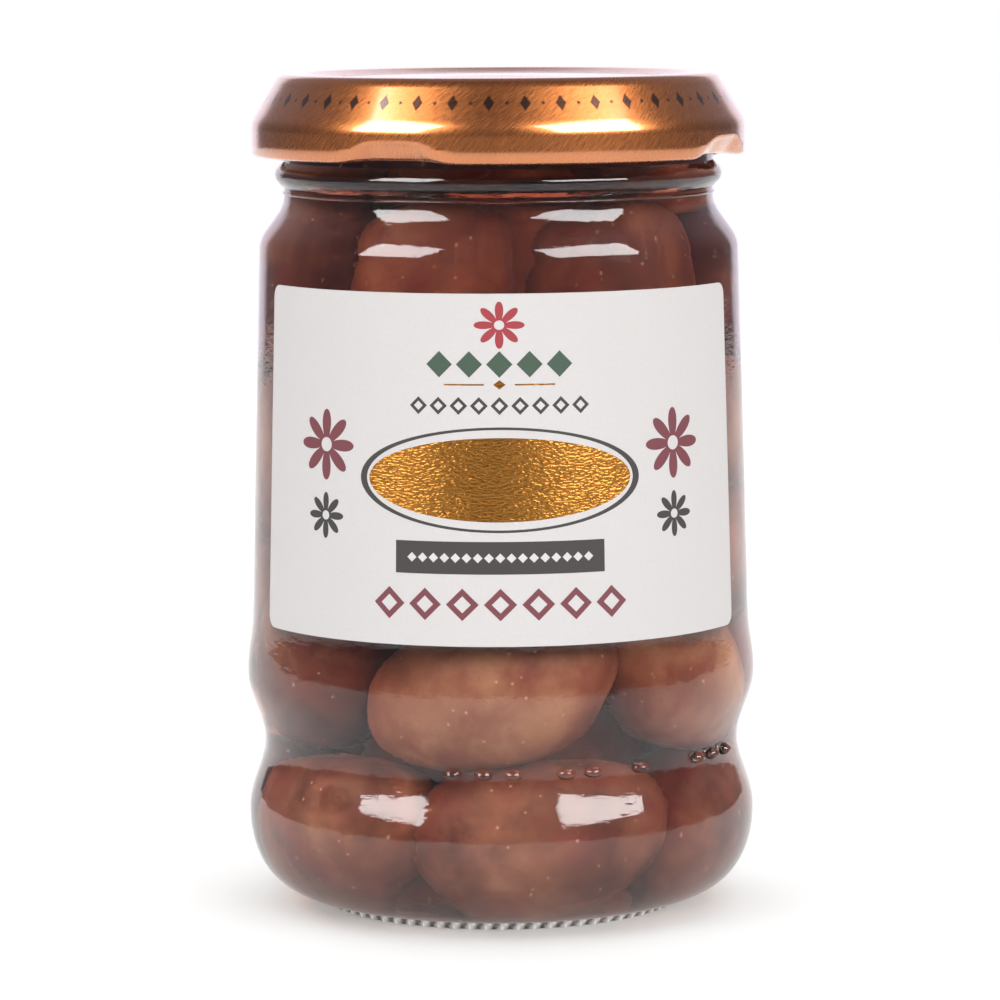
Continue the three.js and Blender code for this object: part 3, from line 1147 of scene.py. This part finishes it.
@dataclass(frozen=True)
class ContainerGlass:
    """Soda-lime container glass, moulded and fire polished: clear and bright, with a faint grey body.

    The mould leaves fine ripples and slow waves, which bend the edges of what the glass mirrors.
    """

    colour: str = "#FBFCFB"
    ior: float = 1.52
    frost_clearness: float = 0.1
    frost_roughness: float = 0.3
    ripple_size: float = 1.1
    ripple_stretch: tuple[float, float, float] = (0.6, 0.6, 1.8)
    wave_size: float = 7.0
    wave_share: float = 3.0
    relief: float = 0.024

    def build(self) -> Material:
        """Builds the glass.

        Returns:
            The material.
        """
        material, tree = new_material("container_glass")
        bare = add_node(tree, "Attribute", attribute_name="bare").outputs["Fac"]
        frost = add_node(tree, "Attribute", attribute_name="frost").outputs["Fac"]
        clear = add_node(tree, "Math", (frost, self.frost_clearness - 1, 1.0), operation="MULTIPLY_ADD")
        dull = add_node(tree, "Math", (frost, self.frost_roughness), operation="MULTIPLY")
        place = add_node(tree, "TexCoord").outputs["Object"]
        streaked = add_node(tree, "Mapping", {"Vector": place, "Scale": self.ripple_stretch})
        ripple = add_node(tree, "TexNoise", {
            "Vector": streaked, "Scale": 1 / (self.ripple_size * MM), "Detail": 2.0,
        })
        wave = add_node(tree, "TexNoise", {
            "Vector": place, "Scale": 1 / (self.wave_size * MM), "Detail": 1.0,
        })
        height = add_node(tree, "Math", (wave, self.wave_share, ripple), operation="MULTIPLY_ADD")
        bump = add_node(tree, "Bump", {"Strength": 1.0, "Distance": self.relief * MM, "Height": height})
        body = add_node(tree, "BsdfPrincipled", {
            "Base Color": linear(self.colour), "Roughness": dull, "IOR": self.ior,
            "Transmission Weight": clear, "Specular IOR Level": 0.5, "Specular Tint": bare, "Normal": bump,
        })
        add_node(tree, "OutputMaterial", {"Surface": let_lamps_through(tree, body, linear(self.colour))})
        return material


@dataclass(frozen=True)
class OliveBrine:
    """Brine that has drawn colour from the fruit: nearly clear, and browner the deeper one looks into it."""

    absorption: str = "#E5A686"
    density: float = 78.0
    haze: float = 0.008
    ior: float = 1.34

    def build(self) -> Material:
        """Builds the liquid.

        Returns:
            The material.
        """
        material, tree = new_material("olive_brine")
        body = add_node(tree, "BsdfPrincipled", {
            "Base Color": WHITE, "Roughness": 0.0, "IOR": self.ior, "Transmission Weight": 1 - self.haze,
            "Specular Tint": (0, 0, 0, 1),
        })
        depth = add_node(tree, "VolumeAbsorption", (linear(self.absorption), self.density))
        add_node(tree, "OutputMaterial", {"Surface": let_lamps_through(tree, body, WHITE), "Volume": depth})
        return material


@dataclass(frozen=True)
class OliveSkin:
    """Cured olive skin under brine: soft brown flesh tones, mottled, with small pale pores and faint bruises.

    A tone from 0 to 1 runs from dark to light over the fruit. A pore fades out about 0.3 mm from its middle,
    which is as coarse as it needs to be to show through the glass.
    """

    dark: str = "#562C22"
    middle: str = "#88543E"
    light: str = "#AD7C5C"
    tones: tuple[float, float, float] = (0.22, 0.52, 0.85)
    ripeness_and_shade_share: float = 0.62
    mottle_size: float = 9.0
    grain_size: float = 0.45
    grain_share: float = 0.2
    flush: str = "#76302A"
    flush_size: float = 6.0
    flush_share: float = 0.45
    pore: str = "#C8A080"
    pore_spacing: float = 2.3
    pore_share: float = 0.6
    relief_size: float = 0.9
    relief: float = 0.2

    def build(self) -> Material:
        """Builds the skin.

        Returns:
            The material.
        """
        material, tree = new_material("olive_skin")
        place = add_node(tree, "TexCoord").outputs["Object"]
        # Each olive's tone from dark to light: ripeness, and for the olives that show also painted shade
        ripeness_and_painted_shade = add_node(tree, "Attribute", attribute_name="ripeness_and_painted_shade").outputs["Fac"]
        mottle = add_node(tree, "TexNoise", {
            "Vector": place, "Scale": 1 / (self.mottle_size * MM),
            "Detail": 3.0, "Roughness": 0.5, "Distortion": 0.3,
        })
        grain = add_node(tree, "TexNoise", {
            "Vector": place, "Scale": 1 / (self.grain_size * MM), "Detail": 2.0, "Roughness": 0.6,
        })
        tone = mottle
        for part, share in ((ripeness_and_painted_shade, self.ripeness_and_shade_share), (grain, self.grain_share)):
            swing = add_node(tree, "Math", (part, share, -share / 2), operation="MULTIPLY_ADD")
            tone = add_node(tree, "Math", (tone, swing), operation="ADD")
        ramp = add_node(tree, "ValToRGB", (tone,))
        first, last = ramp.color_ramp.elements
        first.position, first.color = self.tones[0], linear(self.dark)
        last.position, last.color = self.tones[2], linear(self.light)
        ramp.color_ramp.elements.new(self.tones[1]).color = linear(self.middle)
        patches = add_node(tree, "TexNoise", {
            "Vector": place, "Scale": 1 / (self.flush_size * MM), "Detail": 2.0, "Distortion": 0.5,
        })
        flushed = add_node(tree, "MapRange", (patches, 0.48, 0.68, 0.0, self.flush_share))
        cells = add_node(tree, "TexVoronoi", {
            "Vector": place, "Scale": 1 / (self.pore_spacing * MM), "Randomness": 1.0,
        }, feature="F1")
        pores = add_node(tree, "MapRange", (cells, 0.04, 0.12, self.pore_share, 0.0))
        colour = ramp.outputs["Color"]
        for share, ink in ((flushed, self.flush), (pores, self.pore)):
            colour = add_node(tree, "Mix", {0: share, 6: colour, 7: linear(ink)}, data_type="RGBA").outputs[2]
        fine = add_node(tree, "TexNoise", {
            "Vector": place, "Scale": 1 / (self.relief_size * MM), "Detail": 3.0,
        })
        bump = add_node(tree, "Bump", {"Strength": 0.25, "Distance": self.relief * MM, "Height": fine})
        skin = add_node(tree, "BsdfPrincipled", {
            "Base Color": colour, "Roughness": 0.45, "IOR": 1.45, "Specular IOR Level": 0.05, "Normal": bump,
        })
        add_node(tree, "OutputMaterial", {"Surface": skin})
        return material


@dataclass(frozen=True)
class GoldLacquer:
    """Gold lacquer over drawn tinplate: a copper-gold metal sheen, fine slanted scratches and a printed ring.

    A scratch is about one pixel wide in the main view, which is as coarse as it needs to be to show.
    """

    colour: str = "#CE7C42"
    worn: str = "#BA6C34"
    wear_size: float = 9.0
    roughness: tuple[float, float] = (0.21, 0.33)
    scratch_width: float = 0.16
    scratch_length: float = 14.0
    scratch_slant: float = 40.0
    scratch_depth: float = 0.0045
    wrap_radius: float = 33.0
    print_low: float = 107.2
    print_high: float = 109.2
    print_count: int = 84
    # Place of each mark in its step, from -1 to 1, then its half width and half height
    marks: tuple[tuple[float, float, float], ...] = ((0.5, 0.3, 1.0), (-0.5, 0.12, 0.26))

    def build(self) -> Material:
        """Builds the lacquer.

        Returns:
            The material.
        """
        material, tree = new_material("gold_lacquer")
        place = add_node(tree, "TexCoord").outputs["Object"]
        part = add_node(tree, "SeparateXYZ", (place,)).outputs
        angle = add_node(tree, "Math", (part["X"], part["Y"]), operation="ARCTAN2")
        around = add_node(tree, "Math", (angle, self.wrap_radius * MM), operation="MULTIPLY")
        level = add_node(tree, "CombineXYZ", (part["X"], part["Y"], 0.0))
        reach = add_node(tree, "VectorMath", (level,), operation="LENGTH").outputs["Value"]
        drop = add_node(tree, "Math", (part["Z"], reach), operation="SUBTRACT")
        sheet = add_node(tree, "CombineXYZ", (around, drop))
        slanted = add_node(tree, "Mapping", {
            "Vector": sheet, "Rotation": (0, 0, math.radians(self.scratch_slant)),
            "Scale": (1, self.scratch_length, 1),
        }, vector_type="TEXTURE")
        scratches = add_node(tree, "TexNoise", {
            "Vector": slanted, "Scale": 1 / (self.scratch_width * MM), "Detail": 3.0, "Roughness": 0.65,
        })
        wear = add_node(tree, "TexNoise", {
            "Vector": sheet, "Scale": 1 / (self.wear_size * MM), "Detail": 2.0,
        })
        colour = linear(self.colour)
        for share, ink in ((wear, self.worn), (self.printed_ring(tree, angle, part["Z"]), Ink.LID_PRINT)):
            colour = add_node(tree, "Mix", {0: share, 6: colour, 7: linear(ink)}, data_type="RGBA").outputs[2]
        rough = add_node(tree, "MapRange", (scratches, 0.3, 0.7, *self.roughness))
        bump = add_node(tree, "Bump", {
            "Strength": 0.3, "Distance": self.scratch_depth * MM, "Height": scratches,
        })
        metal = add_node(tree, "BsdfPrincipled", {
            "Base Color": colour, "Metallic": 1.0, "Roughness": rough, "Normal": bump,
            "Coat Weight": 1.0, "Coat Roughness": 0.12, "Coat IOR": 1.7,
        })
        add_node(tree, "OutputMaterial", {"Surface": metal})
        return material

    def printed_ring(self, tree: NodeTree, angle: Node, height: NodeSocket) -> Node:
        """Draws a ring of plain diamonds and dots on the lid's shoulder.

        Args:
            tree: the material's nodes.
            angle: the angle round the axis, in radians.
            height: the height, in metres.

        Returns:
            1 on a mark and 0 elsewhere.
        """
        middle = (self.print_low + self.print_high) / 2 * MM
        half = (self.print_high - self.print_low) / 2 * MM
        turns = add_node(tree, "Math", (angle, self.print_count / (2 * math.pi)), operation="MULTIPLY")
        across = add_node(tree, "Math", (turns, 1.0, -1.0), operation="WRAP")
        above = add_node(tree, "Math", (height, middle), operation="SUBTRACT")
        up = add_node(tree, "Math", (above, half), operation="DIVIDE")
        marks = []
        for shift, wide, high in self.marks:
            beside = add_node(tree, "Math", (across, shift), operation="SUBTRACT")
            shares = []
            for off, size in ((beside, wide), (up, high)):
                off = add_node(tree, "Math", (off,), operation="ABSOLUTE")
                shares.append(add_node(tree, "Math", (off, size), operation="DIVIDE"))
            both = add_node(tree, "Math", shares, operation="ADD")
            marks.append(add_node(tree, "Math", (both, 1.0), operation="LESS_THAN"))
        return add_node(tree, "Math", marks, operation="MAXIMUM")


class Form(Enum):
    """Forms that are printed on the label."""

    OVAL = "oval"
    RING = "ring"
    ROSETTE = "rosette of petals"
    BAR = "bar"
    DIAMOND = "diamond"
    ROW = "row of diamonds"
    CHAIN = "row of open diamonds"


@dataclass(frozen=True)
class Shape:
    """One printed shape of the label: its form, and its middle and half size in millimetres."""

    form: Form
    middle: tuple[float, float]
    half: tuple[float, float]


@dataclass(frozen=True)
class PrintedPaper:
    """Uncoated label paper, offset printed, with a hot-stamped and hammered foil panel.

    The paper is matt and softly fibrous, and the foil is a bright metal with long shallow dents.
    """

    size: tuple[float, float]
    shade: str = "#CFCBCA"
    fibre_size: float = 5 / 11
    fibre_share: float = 0.12
    dent_size: tuple[float, float] = (2 / 3, 5 / 18)
    relief: float = 0.25
    roughness: tuple[float, float] = (0.72, 0.28)
    foil: tuple[Shape, ...] = (
        Shape(Form.OVAL, (0, -1.2), (17.5, 5.4)),
        Shape(Form.BAR, (-4.6, 11.0), (2.6, 0.1)),
        Shape(Form.BAR, (4.6, 11.0), (2.6, 0.1)),
        Shape(Form.DIAMOND, (0, 11.0), (0.8, 0.6)),
    )
    charcoal: tuple[Shape, ...] = (
        Shape(Form.BAR, (0, -11.2), (13.6, 2.1)),
        Shape(Form.RING, (0, -1.2), (18.9, 6.8)),
        Shape(Form.ROSETTE, (24.6, -6.6), (3.0, 3.0)),
        Shape(Form.ROSETTE, (-24.6, -6.6), (3.0, 3.0)),
        Shape(Form.CHAIN, (0, 8.3), (12.4, 1.15)),
    )
    burgundy: tuple[Shape, ...] = (
        Shape(Form.ROSETTE, (24.6, 2.6), (4.6, 4.6)),
        Shape(Form.ROSETTE, (-24.6, 2.6), (4.6, 4.6)),
        Shape(Form.CHAIN, (0, -17.2), (17.6, 2.1)),
    )
    green: tuple[Shape, ...] = (Shape(Form.ROW, (0, 13.6), (9.9, 1.7)),)
    red: tuple[Shape, ...] = (Shape(Form.ROSETTE, (0, 18.6), (3.3, 3.0)),)
    bare: tuple[Shape, ...] = (Shape(Form.ROW, (0, -11.2), (12.2, 0.62)),)
    ring_line: tuple[float, float] = (0.97, 0.025)
    row_step: float = 1.15
    chain_hollow: float = 0.52
    petals: int = 8
    petal_waist: float = 0.28
    rosette_eye: float = 0.2

    def mask(self, tree: NodeTree, place: Node, shape: Shape) -> Node:
        """Draws one shape in its own frame, where its half sizes are 1.

        Args:
            tree: the material's nodes.
            place: the place on the sheet in millimetres from its middle.
            shape: what to draw.

        Returns:
            1 inside the shape and 0 outside.
        """
        in_row = shape.form in (Form.ROW, Form.CHAIN)
        half = (shape.half[1], shape.half[1]) if in_row else shape.half
        own = add_node(tree, "Mapping", {
            "Vector": place, "Location": (*shape.middle, 0), "Scale": (*half, 1),
        }, vector_type="TEXTURE")
        if shape.form is Form.ROSETTE:
            return self.rosette(tree, own)
        if shape.form in (Form.OVAL, Form.RING):
            far, limit = add_node(tree, "VectorMath", (own,), operation="LENGTH").outputs["Value"], 1.0
            if shape.form is Form.RING:
                middle, limit = self.ring_line
                off = add_node(tree, "Math", (far, middle), operation="SUBTRACT")
                far = add_node(tree, "Math", (off,), operation="ABSOLUTE")
            return add_node(tree, "Math", (far, limit), operation="LESS_THAN")
        folded = add_node(tree, "VectorMath", (own,), operation="ABSOLUTE")
        parts = add_node(tree, "SeparateXYZ", (folded,)).outputs
        if in_row:
            return self.row(tree, parts["X"], parts["Y"], shape)
        far = add_node(
            tree, "Math", (parts["X"], parts["Y"]), operation="MAXIMUM" if shape.form is Form.BAR else "ADD"
        )
        return add_node(tree, "Math", (far, 1.0), operation="LESS_THAN")

    def row(self, tree: NodeTree, across: NodeSocket, up: NodeSocket, shape: Shape) -> Node:
        """Draws whole diamonds side by side over a shape's width, as high as the row, and open in a chain.

        Args:
            tree: the material's nodes.
            across: the distance to the side of the row's middle.
            up: the distance above or below it.
            shape: the row.

        Returns:
            1 inside the diamonds and 0 outside.
        """
        step = self.row_step
        near = add_node(tree, "Math", (across, step, -step), operation="WRAP")
        near = add_node(tree, "Math", (near,), operation="ABSOLUTE")
        far = add_node(tree, "Math", (near, up), operation="ADD")
        end = 2 * step * int((shape.half[0] / shape.half[1] - step) / (2 * step)) + step
        inside = add_node(tree, "Math", (far, 1.0), operation="LESS_THAN")
        tests = [(across, end, "LESS_THAN")]
        if shape.form is Form.CHAIN:
            tests.append((far, self.chain_hollow, "GREATER_THAN"))
        for value, limit, operation in tests:
            test = add_node(tree, "Math", (value, limit), operation=operation)
            inside = add_node(tree, "Math", (inside, test), operation="MULTIPLY")
        return inside

    def rosette(self, tree: NodeTree, own: Node) -> Node:
        """Draws a plain rosette of petals with an open eye.

        Args:
            tree: the material's nodes.
            own: the place in the rosette's frame.

        Returns:
            1 inside the petals and 0 outside.
        """
        far = add_node(tree, "VectorMath", (own,), operation="LENGTH").outputs["Value"]
        parts = add_node(tree, "SeparateXYZ", (own,)).outputs
        angle = add_node(tree, "Math", (parts["Y"], parts["X"]), operation="ARCTAN2")
        wave = add_node(tree, "Math", (angle, self.petals / 2), operation="MULTIPLY")
        for operation in ("COSINE", "ABSOLUTE"):
            wave = add_node(tree, "Math", (wave,), operation=operation)
        waist = self.petal_waist
        edge = add_node(tree, "Math", (wave, 1 - waist, waist), operation="MULTIPLY_ADD")
        inside = add_node(tree, "Math", (far, edge), operation="LESS_THAN")
        past_eye = add_node(tree, "Math", (far, self.rosette_eye), operation="GREATER_THAN")
        return add_node(tree, "Math", (inside, past_eye), operation="MULTIPLY")

    def union(self, tree: NodeTree, place: Node, shapes: Iterable[Shape]) -> Node:
        """Draws several shapes of one ink.

        Args:
            tree: the material's nodes.
            place: the place on the sheet in millimetres from its middle.
            shapes: what to draw.

        Returns:
            1 inside any of the shapes and 0 outside.
        """
        whole, *others = [self.mask(tree, place, shape) for shape in shapes]
        for other in others:
            whole = add_node(tree, "Math", (whole, other), operation="MAXIMUM")
        return whole

    def build(self) -> Material:
        """Builds the printed paper.

        Returns:
            The material.
        """
        material, tree = new_material("printed_paper")
        wide, high = self.size
        place = add_node(tree, "Mapping", {
            "Vector": add_node(tree, "UVMap", uv_map="print"),
            "Location": (-wide / 2, -high / 2, 0), "Scale": (wide, high, 1),
        })
        fibre = add_node(tree, "TexNoise", {"Vector": place, "Scale": 1 / self.fibre_size, "Detail": 5.0})
        layers = [(fibre, self.shade)]
        for ink, shapes in (
            (Ink.CHARCOAL, self.charcoal), (Ink.BURGUNDY, self.burgundy), (Ink.GREEN, self.green),
            (Ink.RED, self.red), (Ink.PAPER, self.bare), (Ink.FOIL, self.foil),
        ):
            layers.append((self.union(tree, place, shapes), ink))
        colour = linear(Ink.PAPER)
        for share, ink in layers:
            colour = add_node(tree, "Mix", {0: share, 6: colour, 7: linear(ink)}, data_type="RGBA").outputs[2]
        foil = layers[-1][0]
        drawn_out = add_node(tree, "Mapping", {
            "Vector": place, "Scale": (*(1 / size for size in self.dent_size), 1),
        })
        hammer = add_node(tree, "TexNoise", {
            "Vector": drawn_out, "Scale": 1.0, "Detail": 1.5, "Roughness": 0.5,
        })
        dents = add_node(tree, "Math", (hammer, foil), operation="MULTIPLY")
        height = add_node(tree, "Math", (fibre, self.fibre_share, dents), operation="MULTIPLY_ADD")
        bump = add_node(tree, "Bump", {"Strength": 0.7, "Distance": self.relief * MM, "Height": height})
        rough = add_node(tree, "MapRange", (foil, 0.0, 1.0, *self.roughness))
        sheet = add_node(tree, "BsdfPrincipled", {
            "Base Color": colour, "Metallic": foil, "Roughness": rough, "Normal": bump,
        })
        add_node(tree, "OutputMaterial", {"Surface": sheet})
        return material


@dataclass(frozen=True)
class SweepPaper:
    """Matt white studio paper."""

    colour: str = "#E4E4E4"

    def build(self) -> Material:
        """Builds the paper.

        Returns:
            The material.
        """
        material, tree = new_material("sweep_paper")
        sheet = add_node(tree, "BsdfPrincipled", {
            "Base Color": linear(self.colour), "Roughness": 0.9, "Specular IOR Level": 0.1,
        })
        add_node(tree, "OutputMaterial", {"Surface": sheet})
        return material


# Studio


@dataclass
class Studio:
    """Camera at the photograph's angle, a pale floor, two softboxes in front and a bright backdrop behind."""

    camera_back: float = 615
    camera_height: float = 128
    pitch: float = 6.879
    roll: float = -0.30
    focal_pixels: float = 4593.8
    frame_pixels: float = 1000
    sensor: float = 36
    floor_size: float = 1.7
    target: tuple[float, float, float] = (0, 0, 0.055)
    room: str = "#F6F2FF"
    fill: float = 0.3
    mirrored_front: float = 0.15
    mirrored_side: float = 0.32
    mirrored_back: float = 1.3
    backdrop: float = 1.0

    def camera(self) -> None:
        """Adds the camera."""
        deselect_all()
        tilt = Matrix.Rotation(math.radians(90 - self.pitch), 4, "X")
        turn = tilt @ Matrix.Rotation(math.radians(self.roll), 4, "Z")
        bpy.ops.object.camera_add(
            location=(0, -self.camera_back * MM, self.camera_height * MM), rotation=turn.to_euler()
        )
        camera = bpy.context.active_object
        camera.data.sensor_width = self.sensor
        camera.data.lens = self.focal_pixels / self.frame_pixels * self.sensor
        bpy.context.scene.camera = camera

    def floor(self) -> None:
        """Adds the pale floor."""
        deselect_all()
        bpy.ops.mesh.primitive_plane_add(size=self.floor_size)
        floor = started("floor")
        floor.data.materials.append(SweepPaper().build())

    def panel(
        self, name: str, azimuth: float, rise: float, distance: float, size: tuple[float, float],
        radiance: float, diffuse: bool = True, glossy: bool = True,
    ) -> None:
        """Adds a rectangular light that faces the jar.

        Args:
            name: the light's name.
            azimuth: its bearing.
            rise: its height as an angle above the middle of the jar.
            distance: how far away it stands, in metres.
            size: width and height in metres.
            radiance: brightness of its face.
            diffuse: whether it lights matt surfaces.
            glossy: whether it shows in reflections.
        """
        deselect_all()
        target = Vector(self.target)
        spot = target + direction(azimuth, rise) * distance
        bpy.ops.object.light_add(type="AREA", location=spot)
        lamp = bpy.context.active_object
        lamp.name = name
        lamp.rotation_euler = (target - spot).to_track_quat("-Z", "Y").to_euler()
        lamp.data.shape = "RECTANGLE"
        lamp.data.size, lamp.data.size_y = size
        lamp.data.energy = radiance * math.pi * size[0] * size[1]
        lamp.visible_camera = False
        lamp.visible_diffuse = diffuse
        lamp.visible_glossy = glossy

    def world(self) -> None:
        """Makes the room dim in front and bright behind, and shows the camera plain white."""
        world = bpy.data.worlds.new("studio")
        bpy.context.scene.world = world
        world.use_nodes = True
        tree = world.node_tree
        tree.nodes.clear()
        way = add_node(tree, "SeparateXYZ", (add_node(tree, "TexCoord").outputs["Generated"],)).outputs
        path = add_node(tree, "LightPath").outputs

        # What is mirrored: brightest straight behind, and otherwise brighter where a ray climbs behind the jar
        above = add_node(tree, "Math", (way["Y"], way["Z"]), operation="MULTIPLY")
        beside = add_node(tree, "MapRange", (above, 0.05, 0.3, self.mirrored_front, self.mirrored_side))
        level = add_node(
            tree, "MapRange", (way["Y"], 0.82, 0.9, beside, self.mirrored_back),
            interpolation_type="SMOOTHSTEP",
        )
        mirrored = add_node(tree, "Background", {"Color": linear(self.room), "Strength": level})
        soft = add_node(tree, "Background", {"Color": WHITE, "Strength": self.fill})
        room = add_node(tree, "MixShader", (path["Is Glossy Ray"], soft, mirrored))

        # What is seen straight or through the clear glass: the white backdrop
        beyond = add_node(
            tree, "MapRange", (way["Y"], -0.3, 0.3, self.mirrored_front, self.backdrop),
            interpolation_type="SMOOTHSTEP",
        )
        strength = add_node(tree, "Mix", {0: path["Is Camera Ray"], 2: beyond, 3: self.backdrop})
        seen = add_node(tree, "Background", {"Color": WHITE, "Strength": strength})
        turned = add_node(tree, "Math", (path["Diffuse Depth"], path["Glossy Depth"]), operation="ADD")
        unscattered = add_node(tree, "Math", (turned, 0.5), operation="LESS_THAN")
        through = add_node(tree, "Math", (path["Is Transmission Ray"], unscattered), operation="MULTIPLY")
        straight = add_node(tree, "Math", (path["Is Camera Ray"], through), operation="MAXIMUM")
        add_node(tree, "OutputWorld", {"Surface": add_node(tree, "MixShader", (straight, room, seen))})

    def make(self) -> None:
        """Sets up the whole studio, with a softbox and a brighter glint at its place on each side."""
        self.camera()
        self.floor()
        self.world()
        for side, azimuth, width in (("left", -54, 0.70), ("right", 49, 0.88)):
            self.panel(f"softbox_{side}", azimuth, 35, 1.2, (width, 0.69), 3.0)
            self.panel(f"glint_{side}", azimuth, 35, 1.19, (width, 0.69), 9.0, diffuse=False)
        self.panel("front_fill", 0, 12, 1.4, (1.0, 0.6), 1.5, glossy=False)
        self.panel("backdrop", 180, 19, 1.55, (1.9, 0.96), 1.4, glossy=False)
        self.panel("overhead", 180, 83, 1.6, (1.3, 1.0), 6.4, glossy=False)
        settings = bpy.context.scene.view_settings
        settings.view_transform = "Standard"
        settings.look = "None"


def main() -> None:
    """Builds the jar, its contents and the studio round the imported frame."""
    logging.basicConfig(level=logging.INFO, format="%(name)s %(message)s")
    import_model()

    jar = GlassJar()
    glass = jar.make()
    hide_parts("jar")
    dress(glass, ContainerGlass().build())

    liquid = Brine(jar).make()
    dress(liquid, OliveBrine().build())

    heap = OliveHeap(jar).make()
    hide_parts("olives")
    dress(heap, OliveSkin().build())

    lid = LugLid().make()
    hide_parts("lid")
    dress(lid, GoldLacquer().build())

    label = PaperLabel(jar)
    sheet = label.make()
    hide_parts("label")
    dress(sheet, PrintedPaper(tuple(2 * half for half in label.half_size)).build())

    Studio().make()


if __name__ == "__main__":
    main()
